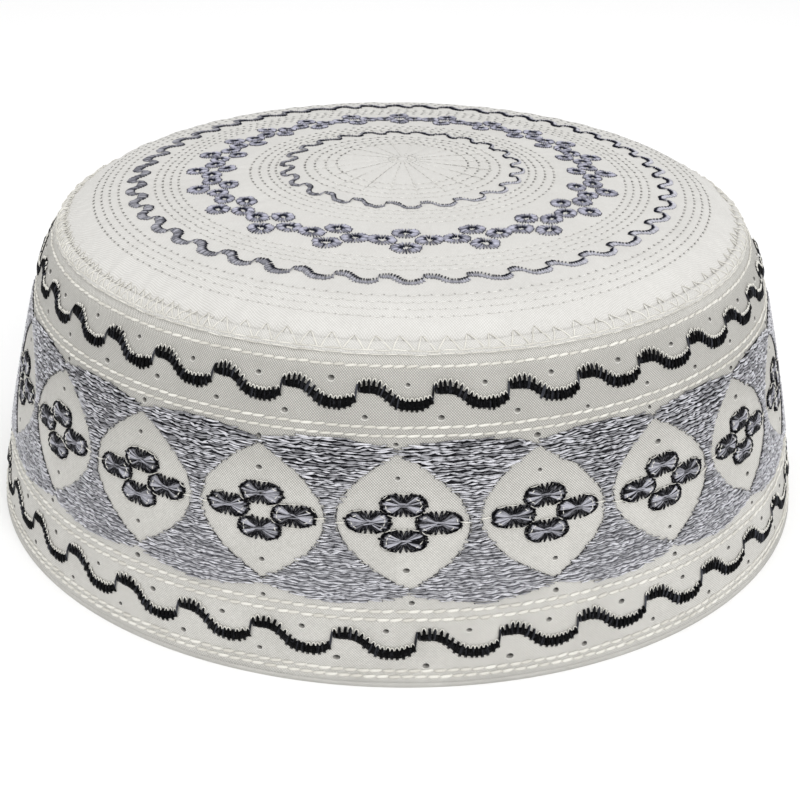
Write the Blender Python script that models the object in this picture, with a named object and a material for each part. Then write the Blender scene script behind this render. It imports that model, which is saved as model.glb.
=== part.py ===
"""Prayer cap: a stiff tapered side band, a shallow crown panel and the raised embroidery that they carry.

The cap stands on its rim. Its origin is the middle of the rim's plane, +Z is up and the front faces -Y.
All lengths are in metres. A place on the cap is an angle about +Z, counted from the front towards +X, and a
distance along the outer skin, counted from the rim's edge up the band, over the shoulder and in to the middle.
"""
from collections import namedtuple
from math import cos, hypot, pi, sin, sqrt, tau

import bmesh
import bpy

# Driving sizes of the outer skin
RIM_RADIUS = 0.0920
BAND_TOP_RADIUS = 0.0802
BAND_TOP_HEIGHT = 0.0521
BAND_BULGE = 0.0006
CROWN_EDGE_RADIUS = 0.0640
CROWN_EDGE_HEIGHT = 0.0681
CROWN_TOP_HEIGHT = 0.0736
DOME_POWER = 1.12
SHOULDER_REACH_LOW = 0.0115
SHOULDER_REACH_HIGH = 0.0030

# Cloth and gaps
GAP = 0.0003
BAND_CLOTH = 0.0020
CROWN_CLOTH = 0.0016
FOLD_CLOTH = 0.0009
STRIP_CLOTH = 0.0006
HEM_DEPTH = 0.0080

# Places along the skin, from the rim
SEAM = 0.0655
STRIP_LOW = 0.0636
STRIP_HIGH = 0.0664
FIELD_FOOT_LOW = 0.0166
FIELD_FOOT_HIGH = 0.0192
FIELD_TOP_LOW = 0.0462
FIELD_TOP_HIGH = 0.0484
MEDALLION_FOOT = 0.0197
MEDALLION_TIP = 0.0457

# Repeats round the cap
MEDALLIONS = 20
MEDALLION_WIDTH_SHARE = 0.885
MEDALLION_TURN = 0.013
MEDALLION_LEAN = 0.028
FIELD_RISE = 0.0006
CROWN_FRONT_STRETCH = 0.12

# Turned pieces are spun in this many steps, three to a medallion
TURN_STEPS = 60
WALL_STEPS = 5
SHOULDER_STEPS = 4
DOME_STEPS = 4
SKIN_SAMPLES = 40

Trim = namedtuple("Trim", "name place repeats turn swing width rise stretch finish")
TRIMS = (
    Trim("upper_scallop", 0.0562, 36, -0.096, 0.0017, 0.0022, 0.0007, 0.0, "black_thread"),
    Trim("lower_scallop", 0.0088, 36, 0.043, 0.0020, 0.0024, 0.0007, 0.0, "black_thread"),
    Trim("crown_outer_scallop", 0.0832, 48, 0.075, 0.0013, 0.0017, 0.0006, CROWN_FRONT_STRETCH, "slate_thread"),
    Trim("crown_inner_scallop", 0.1161, 24, 0.160, 0.0012, 0.0015, 0.0006, CROWN_FRONT_STRETCH, "slate_thread"),
)

# One repeat of a scallop: share of the repeat, and share of the swing up or down
Turn = namedtuple("Turn", "along up")
SCALLOP = (
    Turn(0.02, 0.80),
    Turn(0.20, 1.00),
    Turn(0.42, 0.00),
    Turn(0.62, -0.93),
    Turn(0.91, -0.70),
)

# Half a medallion's opening, from its waist to its tip, as shares of its half width
OPENING_SHARES = (1.0, 0.72, 0.36, 0.0)

Finish = namedtuple("Finish", "red green blue roughness")
FINISHES = {
    "ivory_cloth": Finish(0.72, 0.70, 0.65, 0.85),
    "black_thread": Finish(0.012, 0.012, 0.018, 0.45),
    "slate_thread": Finish(0.10, 0.11, 0.17, 0.50),
    "grey_thread": Finish(0.27, 0.27, 0.31, 0.55),
}


def clear_scene() -> None:
    """Removes every object of the open scene."""
    for thing in list(bpy.data.objects):
        bpy.data.objects.remove(thing, do_unlink=True)


def finish_material(name: str) -> bpy.types.Material:
    """Returns the material of a named finish, made once."""
    made = bpy.data.materials.get(name)
    if made:
        return made
    finish = FINISHES[name]
    material = bpy.data.materials.new(name)
    material.use_nodes = True
    shader = material.node_tree.nodes["Principled BSDF"]
    shader.inputs["Base Color"].default_value = (finish.red, finish.green, finish.blue, 1.0)
    shader.inputs["Roughness"].default_value = finish.roughness
    shader.inputs["Metallic"].default_value = 0.0
    return material


def dome_height(radius: float) -> float:
    """Height of the crown's outer face at a radius inside its edge."""
    fall = CROWN_TOP_HEIGHT - CROWN_EDGE_HEIGHT
    return CROWN_TOP_HEIGHT - fall * (radius / CROWN_EDGE_RADIUS) ** DOME_POWER


def band_point(share: float) -> tuple[float, float]:
    """Radius and height on the band's outer face, from the rim at 0 to the band's top at 1."""
    radius = RIM_RADIUS + (BAND_TOP_RADIUS - RIM_RADIUS) * share + 4.0 * BAND_BULGE * share * (1.0 - share)
    return radius, BAND_TOP_HEIGHT * share


def shoulder_point(share: float) -> tuple[float, float]:
    """Radius and height on the shoulder, a cubic curve that leaves the band and meets the crown smoothly."""
    rise = (BAND_TOP_RADIUS - RIM_RADIUS - 4.0 * BAND_BULGE, BAND_TOP_HEIGHT)
    length = hypot(*rise)
    slope = (CROWN_TOP_HEIGHT - CROWN_EDGE_HEIGHT) * DOME_POWER / CROWN_EDGE_RADIUS
    run = hypot(1.0, slope)
    start = (BAND_TOP_RADIUS, BAND_TOP_HEIGHT)
    leave = (start[0] + rise[0] / length * SHOULDER_REACH_LOW, start[1] + rise[1] / length * SHOULDER_REACH_LOW)
    end = (CROWN_EDGE_RADIUS, CROWN_EDGE_HEIGHT)
    meet = (end[0] + SHOULDER_REACH_HIGH / run, end[1] - slope * SHOULDER_REACH_HIGH / run)
    rest = 1.0 - share
    weights = (rest ** 3, 3.0 * rest * rest * share, 3.0 * rest * share * share, share ** 3)
    corners = (start, leave, meet, end)
    return tuple(sum(weight * corner[axis] for weight, corner in zip(weights, corners)) for axis in (0, 1))


class Skin:
    """The cap's outer face as one line from the rim's edge to the middle of the crown."""

    def __init__(self) -> None:
        shares = [step / SKIN_SAMPLES for step in range(SKIN_SAMPLES + 1)]
        dome_radii = [CROWN_EDGE_RADIUS * (1.0 - share) for share in shares]
        self.points = [band_point(share) for share in shares]
        self.points += [shoulder_point(share) for share in shares[1:]]
        self.points += [(radius, dome_height(radius)) for radius in dome_radii[1:]]
        self.reach = [0.0]
        for before, after in zip(self.points, self.points[1:]):
            self.reach.append(self.reach[-1] + hypot(after[0] - before[0], after[1] - before[1]))
        self.band_top = self.reach[SKIN_SAMPLES]
        self.crown_edge = self.reach[2 * SKIN_SAMPLES]
        self.middle = self.reach[-1]

    def span(self, place: float) -> int:
        """Index of the stretch of the line that holds a distance along it."""
        index = 0
        while index < len(self.reach) - 2 and self.reach[index + 1] < place:
            index += 1
        return index

    def at(self, place: float, proud: float = 0.0) -> tuple[float, float]:
        """Radius and height at a distance along the line, and a distance out from it.

        Args:
            place: Distance along the skin from the rim's edge.
            proud: Distance out from the skin, negative into the cloth.

        Returns:
            The radius and the height.
        """
        index = self.span(place)
        before, after = self.points[index], self.points[index + 1]
        length = self.reach[index + 1] - self.reach[index]
        share = (place - self.reach[index]) / length
        step = ((after[0] - before[0]) / length, (after[1] - before[1]) / length)
        radius = before[0] + step[0] * length * share + step[1] * proud
        height = before[1] + step[1] * length * share - step[0] * proud
        return radius, height

    def band_at_height(self, height: float, proud: float = 0.0) -> tuple[float, float]:
        """The same near the rim, found by a height instead of a distance along the skin."""
        run = self.points[1][0] - self.points[0][0]
        rise = self.points[1][1] - self.points[0][1]
        length = hypot(run, rise)
        return self.at((height * length + proud * run) / rise, proud)


def new_piece(name: str, mesh_maker: bmesh.types.BMesh, finish: str) -> bpy.types.Object:
    """Makes an object of a finished mesh, smooth but for its edges.

    Args:
        name: The piece's name.
        mesh_maker: Its closed mesh, freed here.
        finish: The name of its finish.

    Returns:
        The new object, linked into the scene.
    """
    bmesh.ops.remove_doubles(mesh_maker, verts=mesh_maker.verts, dist=0.000001)
    bmesh.ops.recalc_face_normals(mesh_maker, faces=mesh_maker.faces)
    mesh = bpy.data.meshes.new(name)
    mesh_maker.to_mesh(mesh)
    mesh_maker.free()
    mesh.shade_smooth()
    mesh.set_sharp_from_angle(angle=pi / 4.0)
    mesh.materials.append(finish_material(finish))
    piece = bpy.data.objects.new(name, mesh)
    bpy.context.scene.collection.objects.link(piece)
    return piece


def turned_piece(name: str, section: list[tuple[float, float]], finish: str) -> bpy.types.Object:
    """Spins a section about +Z.

    Args:
        name: The piece's name.
        section: Radius and height of each corner, in order. A section that ends on the axis at both ends
            stays open there, and any other is closed.
        finish: The name of its finish.

    Returns:
        The turned object.
    """
    mesh_maker = bmesh.new()
    corners = [mesh_maker.verts.new((0.0, -radius, height)) for radius, height in section]
    edges = [mesh_maker.edges.new(pair) for pair in zip(corners, corners[1:])]
    if section[0][0] > 0.0 or section[-1][0] > 0.0:
        edges.append(mesh_maker.edges.new((corners[-1], corners[0])))
    bmesh.ops.spin(mesh_maker, geom=corners + edges, cent=(0.0, 0.0, 0.0), axis=(0.0, 0.0, 1.0), angle=tau,
                   steps=TURN_STEPS, use_merge=True)
    return new_piece(name, mesh_maker, finish)


def steps_between(low: float, high: float, count: int) -> list[float]:
    """Evenly spaced distances from low to high, both included."""
    return [low + (high - low) * step / count for step in range(count + 1)]


def side_band(skin: Skin) -> bpy.types.Object:
    """The tapered wall, from just above the hem's fold to the seam under the strip."""
    foot = FOLD_CLOTH + GAP
    top = SEAM - GAP / 2.0
    places = steps_between(0.0, skin.band_top, WALL_STEPS)[1:] + steps_between(skin.band_top, top, 2)[1:]
    outer = [skin.band_at_height(foot)] + [skin.at(place) for place in places]
    inner = [skin.at(place, -BAND_CLOTH) for place in reversed(places)]
    inner.append(skin.band_at_height(foot, -BAND_CLOTH))
    return turned_piece("side_band", outer + inner, "ivory_cloth")


def crown_panel(skin: Skin) -> bpy.types.Object:
    """The round top panel, turned down over the shoulder as far as the seam."""
    edge = SEAM + GAP / 2.0
    places = steps_between(edge, skin.crown_edge, SHOULDER_STEPS)
    places += steps_between(skin.crown_edge, skin.middle, DOME_STEPS)[1:]
    outer = [skin.at(place) for place in places]
    inner = [skin.at(place, -CROWN_CLOTH) for place in reversed(places)]
    outer[-1] = (0.0, CROWN_TOP_HEIGHT)
    inner[0] = (0.0, CROWN_TOP_HEIGHT - CROWN_CLOTH)
    return turned_piece("crown_panel", inner + outer, "ivory_cloth")


def seam_strip(skin: Skin) -> bpy.types.Object:
    """The narrow folded strip that lies over the joint of the band and the crown."""
    places = steps_between(STRIP_LOW, STRIP_HIGH, 2)
    outer = [skin.at(place, GAP + STRIP_CLOTH) for place in places]
    inner = [skin.at(place, GAP) for place in reversed(places)]
    return turned_piece("seam_strip", outer + inner, "ivory_cloth")


def hem_fold(skin: Skin) -> bpy.types.Object:
    """The hem: flat under the band's foot, where the cap rests, then turned up inside it."""
    near = -BAND_CLOTH - GAP
    far = near - FOLD_CLOTH
    section = [skin.band_at_height(0.0), skin.band_at_height(FOLD_CLOTH)]
    section += [skin.band_at_height(FOLD_CLOTH, near), skin.band_at_height(HEM_DEPTH, near)]
    section += [skin.band_at_height(HEM_DEPTH, far), skin.band_at_height(0.0, far)]
    return turned_piece("hem_fold", section, "ivory_cloth")


def spot(skin: Skin, angle: float, place: float, proud: float) -> tuple[float, float, float]:
    """A point in space at an angle, a distance along the skin and a distance out from it."""
    radius, height = skin.at(place, proud)
    return radius * sin(angle), -radius * cos(angle), height


def looped_piece(name: str, sections: list[list[tuple[float, float, float]]], finish: str) -> bpy.types.Object:
    """Joins a ring of closed sections, each to the next and the last to the first.

    Args:
        name: The piece's name.
        sections: The corners of each section, the same number in each.
        finish: The name of its finish.

    Returns:
        The closed ring.
    """
    mesh_maker = bmesh.new()
    loops = [[mesh_maker.verts.new(corner) for corner in section] for section in sections]
    for here, there in zip(loops, loops[1:] + loops[:1]):
        for side in range(len(here)):
            following = (side + 1) % len(here)
            mesh_maker.faces.new((here[side], here[following], there[following], there[side]))
    return new_piece(name, mesh_maker, finish)


def scallop(skin: Skin, trim: Trim) -> bpy.types.Object:
    """A closed ring of satin scallops, ridged along its middle.

    Args:
        skin: The face that carries it.
        trim: Its row of sizes.

    Returns:
        The ring.
    """
    sections = []
    for repeat in range(trim.repeats):
        for turn in SCALLOP:
            even = tau * (repeat + turn.along) / trim.repeats
            angle = trim.turn + even + trim.stretch * sin(even)
            middle = trim.place + trim.swing * turn.up
            low = spot(skin, angle, middle - trim.width / 2.0, GAP)
            ridge = spot(skin, angle, middle, GAP + trim.rise)
            high = spot(skin, angle, middle + trim.width / 2.0, GAP)
            sections.append([low, ridge, high])
    return looped_piece(trim.name, sections, trim.finish)


FieldColumn = namedtuple("FieldColumn", "angle foot opening_low opening_high top middle")


def field_column(medallion: int, side: float, share: float) -> FieldColumn:
    """One upright slice of the filled field beside or across a medallion's opening.

    Args:
        medallion: The medallion's number, from the front.
        side: -1 before the medallion's middle, +1 after it.
        share: Distance from the medallion's middle, as a share of the opening's half width.

    Returns:
        The slice's angle and its places along the skin.
    """
    pitch = tau / MEDALLIONS
    turn = side * share * MEDALLION_WIDTH_SHARE / 2.0
    edge = abs(turn) * 2.0
    half_height = (MEDALLION_TIP - MEDALLION_FOOT) / 2.0
    middle = (MEDALLION_TIP + MEDALLION_FOOT) / 2.0
    half_opening = half_height * sqrt(max(0.0, 1.0 - share))
    foot = FIELD_FOOT_HIGH + (FIELD_FOOT_LOW - FIELD_FOOT_HIGH) * sqrt(edge)
    top = FIELD_TOP_LOW + (FIELD_TOP_HIGH - FIELD_TOP_LOW) * sqrt(edge)
    angle = MEDALLION_TURN + (medallion + turn) * pitch
    return FieldColumn(angle, foot, middle - half_opening, middle + half_opening, top, middle)


def medallion_field(skin: Skin) -> bpy.types.Object:
    """The filled embroidery between the medallions: one band, pierced by a pointed oval at each medallion."""
    columns = []
    for medallion in range(MEDALLIONS):
        columns += [field_column(medallion, -1.0, share) for share in OPENING_SHARES[:-1]]
        columns += [field_column(medallion, 1.0, share) for share in reversed(OPENING_SHARES)]
    mesh_maker = bmesh.new()
    rows = []
    for column in columns:
        layers = []
        for proud in (GAP, GAP + FIELD_RISE):
            places = (column.foot, column.opening_low, column.opening_high, column.top)
            corners = []
            for place in places:
                lean = MEDALLION_LEAN * (column.middle - place) / (MEDALLION_TIP - MEDALLION_FOOT)
                corners.append(mesh_maker.verts.new(spot(skin, column.angle + lean, place, proud)))
            layers.append(corners)
        rows.append(layers)
    opening_columns = 2 * len(OPENING_SHARES) - 1
    for index, (here, there) in enumerate(zip(rows, rows[1:] + rows[:1])):
        neck = index % opening_columns == opening_columns - 1
        for low in (0, 2):
            field_bar(mesh_maker, here, there, low, open_side=not neck)
    return new_piece("medallion_field", mesh_maker, "grey_thread")


def field_bar(mesh_maker: bmesh.types.BMesh, here: list, there: list, low: int, open_side: bool) -> None:
    """Adds the faces of the field's lower or upper bar between two slices.

    Args:
        mesh_maker: The mesh to add to.
        here: Corners of the first slice, under layer first.
        there: Corners of the second slice.
        low: Index of the bar's lower corner in a layer.
        open_side: Whether the bar has a side towards the opening.
    """
    high = low + 1
    under_here, over_here = here
    under_there, over_there = there
    mesh_maker.faces.new((over_here[low], over_there[low], over_there[high], over_here[high]))
    mesh_maker.faces.new((under_here[high], under_there[high], under_there[low], under_here[low]))
    sides = [0 if low == 0 else 3]
    if open_side:
        sides.append(1 if low == 0 else 2)
    for corner in sides:
        mesh_maker.faces.new((under_here[corner], under_there[corner], over_there[corner], over_here[corner]))


def main() -> None:
    """Builds the cap's pieces."""
    clear_scene()
    skin = Skin()
    side_band(skin)
    crown_panel(skin)
    seam_strip(skin)
    hem_fold(skin)
    medallion_field(skin)
    for trim in TRIMS:
        scallop(skin, trim)


main()
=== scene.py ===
"""Prayer cap, dressed: woven cloth, satin scallops, filled embroidery, flowers and running stitches.

Every piece is laid on one skin, the cap's outer face. A spot on it is an angle about +Z, counted from
the front (-Y) towards +X, and a place, the distance along the skin from the rim's edge to the middle of
the crown. Lengths are in metres, and the maps that the finishes read are in millimetres of cloth or
thread.
"""
import logging
from collections.abc import Callable, Sequence
from dataclasses import dataclass, field
from enum import Enum
from functools import partial
from math import cos, hypot, pi, radians, sin, tau

import bmesh
import bpy
import numpy as np
from mathutils import Matrix, Vector

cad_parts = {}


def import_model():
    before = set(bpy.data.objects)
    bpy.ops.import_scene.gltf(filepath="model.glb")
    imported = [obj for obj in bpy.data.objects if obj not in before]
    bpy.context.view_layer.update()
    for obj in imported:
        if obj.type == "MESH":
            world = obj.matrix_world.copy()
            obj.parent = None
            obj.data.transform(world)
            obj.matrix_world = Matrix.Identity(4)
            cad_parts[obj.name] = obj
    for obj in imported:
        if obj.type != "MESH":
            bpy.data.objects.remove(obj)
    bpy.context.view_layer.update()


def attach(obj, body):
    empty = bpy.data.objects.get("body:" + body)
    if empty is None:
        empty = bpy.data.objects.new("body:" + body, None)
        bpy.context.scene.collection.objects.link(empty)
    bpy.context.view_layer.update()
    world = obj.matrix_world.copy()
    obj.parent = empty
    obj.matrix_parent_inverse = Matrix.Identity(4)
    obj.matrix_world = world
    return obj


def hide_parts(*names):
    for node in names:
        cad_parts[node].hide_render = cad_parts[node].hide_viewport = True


log = logging.getLogger("prayer_cap")

Array = np.ndarray
Colour = tuple[float, float, float]

MM = 0.001
CLOTH_MAP = "cloth_map"
SHADE = "shade"
ALONG = "along"
MAP_STEP = 7.31
MAP_SPAN = 97.0

BAND_REPEATS = 36
UPPER_TURN = -0.096
LOWER_TURN = 0.043
LINE_NEAR = 0.0012
RAYS = 20
RAY_TURN = radians(10.0)


# node arithmetic


class Wire:
    """A number that varies over a surface. Arithmetic on it adds Math nodes to its bench."""

    def __init__(self, bench: "Bench", socket: bpy.types.NodeSocket) -> None:
        """Wraps an output socket of a bench's node."""
        self.bench = bench
        self.socket = socket

    def _maths(self, operation: str, *values: "Wire | float") -> "Wire":
        """Adds one Math node.

        Args:
            operation: The node's operation.
            *values: Its inputs, in order.

        Returns:
            The node's result.
        """
        node = self.bench.node("ShaderNodeMath", {"operation": operation}, dict(enumerate(values)))
        return Wire(self.bench, node.outputs[0])

    def __add__(self, other: "Wire | float") -> "Wire":
        """Adds."""
        return self._maths("ADD", self, other)

    __radd__ = __add__

    def __sub__(self, other: "Wire | float") -> "Wire":
        """Subtracts."""
        return self._maths("SUBTRACT", self, other)

    def __rsub__(self, other: float) -> "Wire":
        """Subtracts from a plain number."""
        return self._maths("SUBTRACT", other, self)

    def __mul__(self, other: "Wire | float") -> "Wire":
        """Multiplies."""
        return self._maths("MULTIPLY", self, other)

    __rmul__ = __mul__

    def wave(self, period: float) -> "Wire":
        """A sine of this number with the given period, from -1 to 1."""
        return self._maths("SINE", self * (tau / period))

    def clamped(self) -> "Wire":
        """This number held between 0 and 1."""
        return self._maths("MAXIMUM", self._maths("MINIMUM", self, 1.0), 0.0)

    def smooth(self, low: float, high: float) -> "Wire":
        """A smooth step from 0 at low to 1 at high.

        Args:
            low: The number that gives 0.
            high: The number that gives 1.

        Returns:
            The step.
        """
        node = self.bench.node(
            "ShaderNodeMapRange",
            {"interpolation_type": "SMOOTHSTEP"},
            {"Value": self, "From Min": low, "From Max": high, "To Min": 0.0, "To Max": 1.0},
        )
        return Wire(self.bench, node.outputs["Result"])


class Bench:
    """A material's node tree, with one way to add a node."""

    def __init__(self, name: str) -> None:
        """Makes the material and keeps its Principled BSDF.

        Args:
            name: The material's name.
        """
        self.material = bpy.data.materials.new(name)
        self.material.use_nodes = True
        self.tree = self.material.node_tree
        self.shader = self.tree.nodes["Principled BSDF"]

    def node(self, kind: str, settings: dict[str, object] | None = None,
             sockets: dict[str | int, object] | None = None) -> bpy.types.Node:
        """Adds a node.

        Args:
            kind: The node's type.
            settings: Its own settings, set first.
            sockets: The value or the link of each input, by name, identifier or number.

        Returns:
            The node.
        """
        made = self.tree.nodes.new(kind)
        for key, value in (settings or {}).items():
            setattr(made, key, value)
        for key, value in (sockets or {}).items():
            self.feed(made, key, value)
        return made

    def feed(self, node: bpy.types.Node, key: str | int, value: object) -> None:
        """Sets or links one input of a node.

        Args:
            node: The node.
            key: The input's name, identifier or number.
            value: A Wire, an output socket or a plain value.
        """
        if isinstance(key, int):
            socket = node.inputs[key]
        else:
            socket = next(s for s in node.inputs if key in (s.identifier, s.name))
        if isinstance(value, Wire):
            self.tree.links.new(value.socket, socket)
        elif isinstance(value, bpy.types.NodeSocket):
            self.tree.links.new(value, socket)
        else:
            socket.default_value = value

    def mixed(self, share: Wire, first: object, second: object) -> bpy.types.NodeSocket:
        """Mixes two colours.

        Args:
            share: 0 for the first colour, 1 for the second.
            first: A colour or a colour socket.
            second: The same.

        Returns:
            The mixed colour's socket.
        """
        both = [(*c, 1.0) if isinstance(c, tuple) and len(c) == 3 else c for c in (first, second)]
        node = self.node("ShaderNodeMix", {"data_type": "RGBA"},
                         {"Factor_Float": share, "A_Color": both[0], "B_Color": both[1]})
        return next(s for s in node.outputs if s.identifier == "Result_Color")

    def map_axes(self) -> tuple[Wire, Wire]:
        """The cloth map's two numbers, in millimetres.

        Returns:
            How far across and how far up a spot is.
        """
        uv = self.node("ShaderNodeUVMap", {"uv_map": CLOTH_MAP})
        split = self.node("ShaderNodeSeparateXYZ", None, {"Vector": uv.outputs["UV"]})
        return Wire(self, split.outputs["X"]), Wire(self, split.outputs["Y"])

    def carried(self, name: str) -> Wire:
        """A number that the mesh carries at each of its points."""
        return Wire(self, self.node("ShaderNodeAttribute", {"attribute_name": name}).outputs["Fac"])

    def noise(self, scale: float, detail: float, across: Wire | float, up: Wire | float,
              turned: float = 0.0) -> Wire:
        """Soft noise over a map.

        Args:
            scale: Features to a unit of the map.
            detail: How many finer layers it has.
            across: First number of the map.
            up: Second number of the map.
            turned: Third number, which picks another pattern.

        Returns:
            The noise, about 0 to 1.
        """
        spot = self.node("ShaderNodeCombineXYZ", None, {"X": across, "Y": up, "Z": turned})
        made = self.node("ShaderNodeTexNoise", {"noise_dimensions": "3D"},
                         {"Vector": spot.outputs["Vector"], "Scale": scale, "Detail": detail})
        return self.factor(made)

    def factor(self, node: bpy.types.Node) -> Wire:
        """The number that a texture node gives."""
        return Wire(self, next(s for s in node.outputs if s.name in ("Fac", "Factor")))

    def set_constants(self, values: dict[str, object]) -> None:
        """Sets plain values on the shader's own sockets."""
        for name, value in values.items():
            self.shader.inputs[name].default_value = value

    def relief(self, height: Wire, depth: float) -> None:
        """Turns a height from 0 to 1 into bumps of the given depth in metres."""
        bump = self.node("ShaderNodeBump", None, {"Height": height, "Distance": depth, "Strength": 1.0})
        self.feed(self.shader, "Normal", bump.outputs["Normal"])


# finishes


@dataclass(frozen=True)
class WovenFinish:
    """A closely woven cloth whose grain crosses on the slant, greyed between given heights of its map by
    painted shade.
    """

    name: str
    colour: Colour
    gap_colour: Colour
    grain_mm: float = 0.43
    depth: float = 0.00005
    contrast: float = 1.0
    roughness: float = 0.88
    sheen: float = 0.08
    painted_shade_from_mm: float = 1000.0
    painted_shade_to_mm: float = 1001.0
    painted_shade_depth: float = 0.0
    painted_shade_gone_mm: float = 2000.0
    grain_gain: float = 0.0

    def material(self) -> bpy.types.Material:
        """Builds the cloth's material.

        Returns:
            The material.
        """
        bench = Bench(self.name)
        across, up = bench.map_axes()
        drift = bench.noise(0.35, 2.0, across, up)
        slant = self.grain_mm * 1.414
        grain = (across + up + drift * 0.3).wave(slant)
        counter = (across - up + drift * 0.25).wave(slant)
        height = grain * 0.28 + counter * 0.18 + grain * counter * 0.12 + 0.5
        cloudy = bench.noise(0.09, 3.0, across, up, 4.0)
        worn = bench.noise(1.6, 2.0, across, up, 9.0)
        # Painted shade: the cloth is greyed between the given heights, standing for light that falls off up
        # the wall.
        grey = up.smooth(self.painted_shade_from_mm, self.painted_shade_to_mm) * self.painted_shade_depth
        grey = grey * (1.0 - up.smooth(self.painted_shade_gone_mm - 3.0, self.painted_shade_gone_mm))
        sharp = up.smooth(self.painted_shade_from_mm - 10.0, self.painted_shade_to_mm) * self.grain_gain + self.contrast
        share = 0.5 - (height - 0.5) * sharp + (cloudy - 0.5) * 0.4 + (worn - 0.5) * 0.4 + grey
        bench.feed(bench.shader, "Base Color", bench.mixed(share.clamped(), self.colour, self.gap_colour))
        bench.relief(height + worn * 0.25, self.depth)
        bench.set_constants({
            "Roughness": self.roughness,
            "Specular IOR Level": 0.2,
            "Sheen Weight": self.sheen,
            "Sheen Roughness": 0.5,
        })
        return bench.material


@dataclass(frozen=True)
class ThreadFinish:
    """A twisted embroidery thread whose colour is darkened near its two ends, where it dives into the
    cloth: painted shade, which also gives the satin rings and petals their dark edges.
    """

    name: str
    dark: Colour
    light: Colour
    roughness: float = 0.42
    foot_painted_shade: float = 0.0
    crest_painted_shade: float = 0.0
    ply_mm: float = 0.45
    specular: float = 0.4
    streak: float = 0.35
    depth: float = 0.00003

    def material(self) -> bpy.types.Material:
        """Builds the thread's material.

        Returns:
            The material.
        """
        bench = Bench(self.name)
        along, around = bench.map_axes()
        streak = bench.noise(1.2, 2.0, along, around * 2.5)
        share = bench.carried(SHADE) + (streak - 0.5) * (2.0 * self.streak)
        reach = bench.carried(ALONG)
        # Painted shade: the colour darkens towards the thread's foot and crest, where it dives into the
        # cloth.
        if self.foot_painted_shade:
            share = share * reach.smooth(self.foot_painted_shade * 0.5, self.foot_painted_shade * 1.3)
        if self.crest_painted_shade:
            share = share * (1.0 - reach.smooth(1.0 - self.crest_painted_shade * 1.3, 1.0 - self.crest_painted_shade * 0.6))
        bench.feed(bench.shader, "Base Color", bench.mixed(share.clamped(), self.dark, self.light))
        ply = (along + around * 0.55).wave(self.ply_mm)
        bench.relief(ply * 0.5 + 0.5, self.depth)
        bench.set_constants({"Roughness": self.roughness, "Specular IOR Level": self.specular})
        return bench.material


@dataclass(frozen=True)
class HoleFinish:
    """The inside of a pierced hole, painted dark as shade at the side that the light misses."""

    name: str
    dark: Colour
    light: Colour

    def material(self) -> bpy.types.Material:
        """Builds the material.

        Returns:
            The material.
        """
        bench = Bench(self.name)
        share = bench.carried(SHADE).clamped()
        bench.feed(bench.shader, "Base Color", bench.mixed(share, self.dark, self.light))
        bench.set_constants({"Roughness": 0.95, "Specular IOR Level": 0.1})
        return bench.material


@dataclass(frozen=True)
class FloorFinish:
    """A matt painted floor, very slightly uneven."""

    name: str
    colour: Colour
    other: Colour
    scale: float = 0.5

    def material(self) -> bpy.types.Material:
        """Builds the material.

        Returns:
            The material.
        """
        bench = Bench(self.name)
        coords = bench.node("ShaderNodeTexCoord")
        noise = bench.node("ShaderNodeTexNoise", None,
                           {"Vector": coords.outputs["Object"], "Scale": self.scale})
        paint = bench.mixed(bench.factor(noise), self.colour, self.other)
        bench.feed(bench.shader, "Base Color", paint)
        bench.set_constants({"Roughness": 0.9, "Specular IOR Level": 0.1})
        return bench.material


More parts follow.
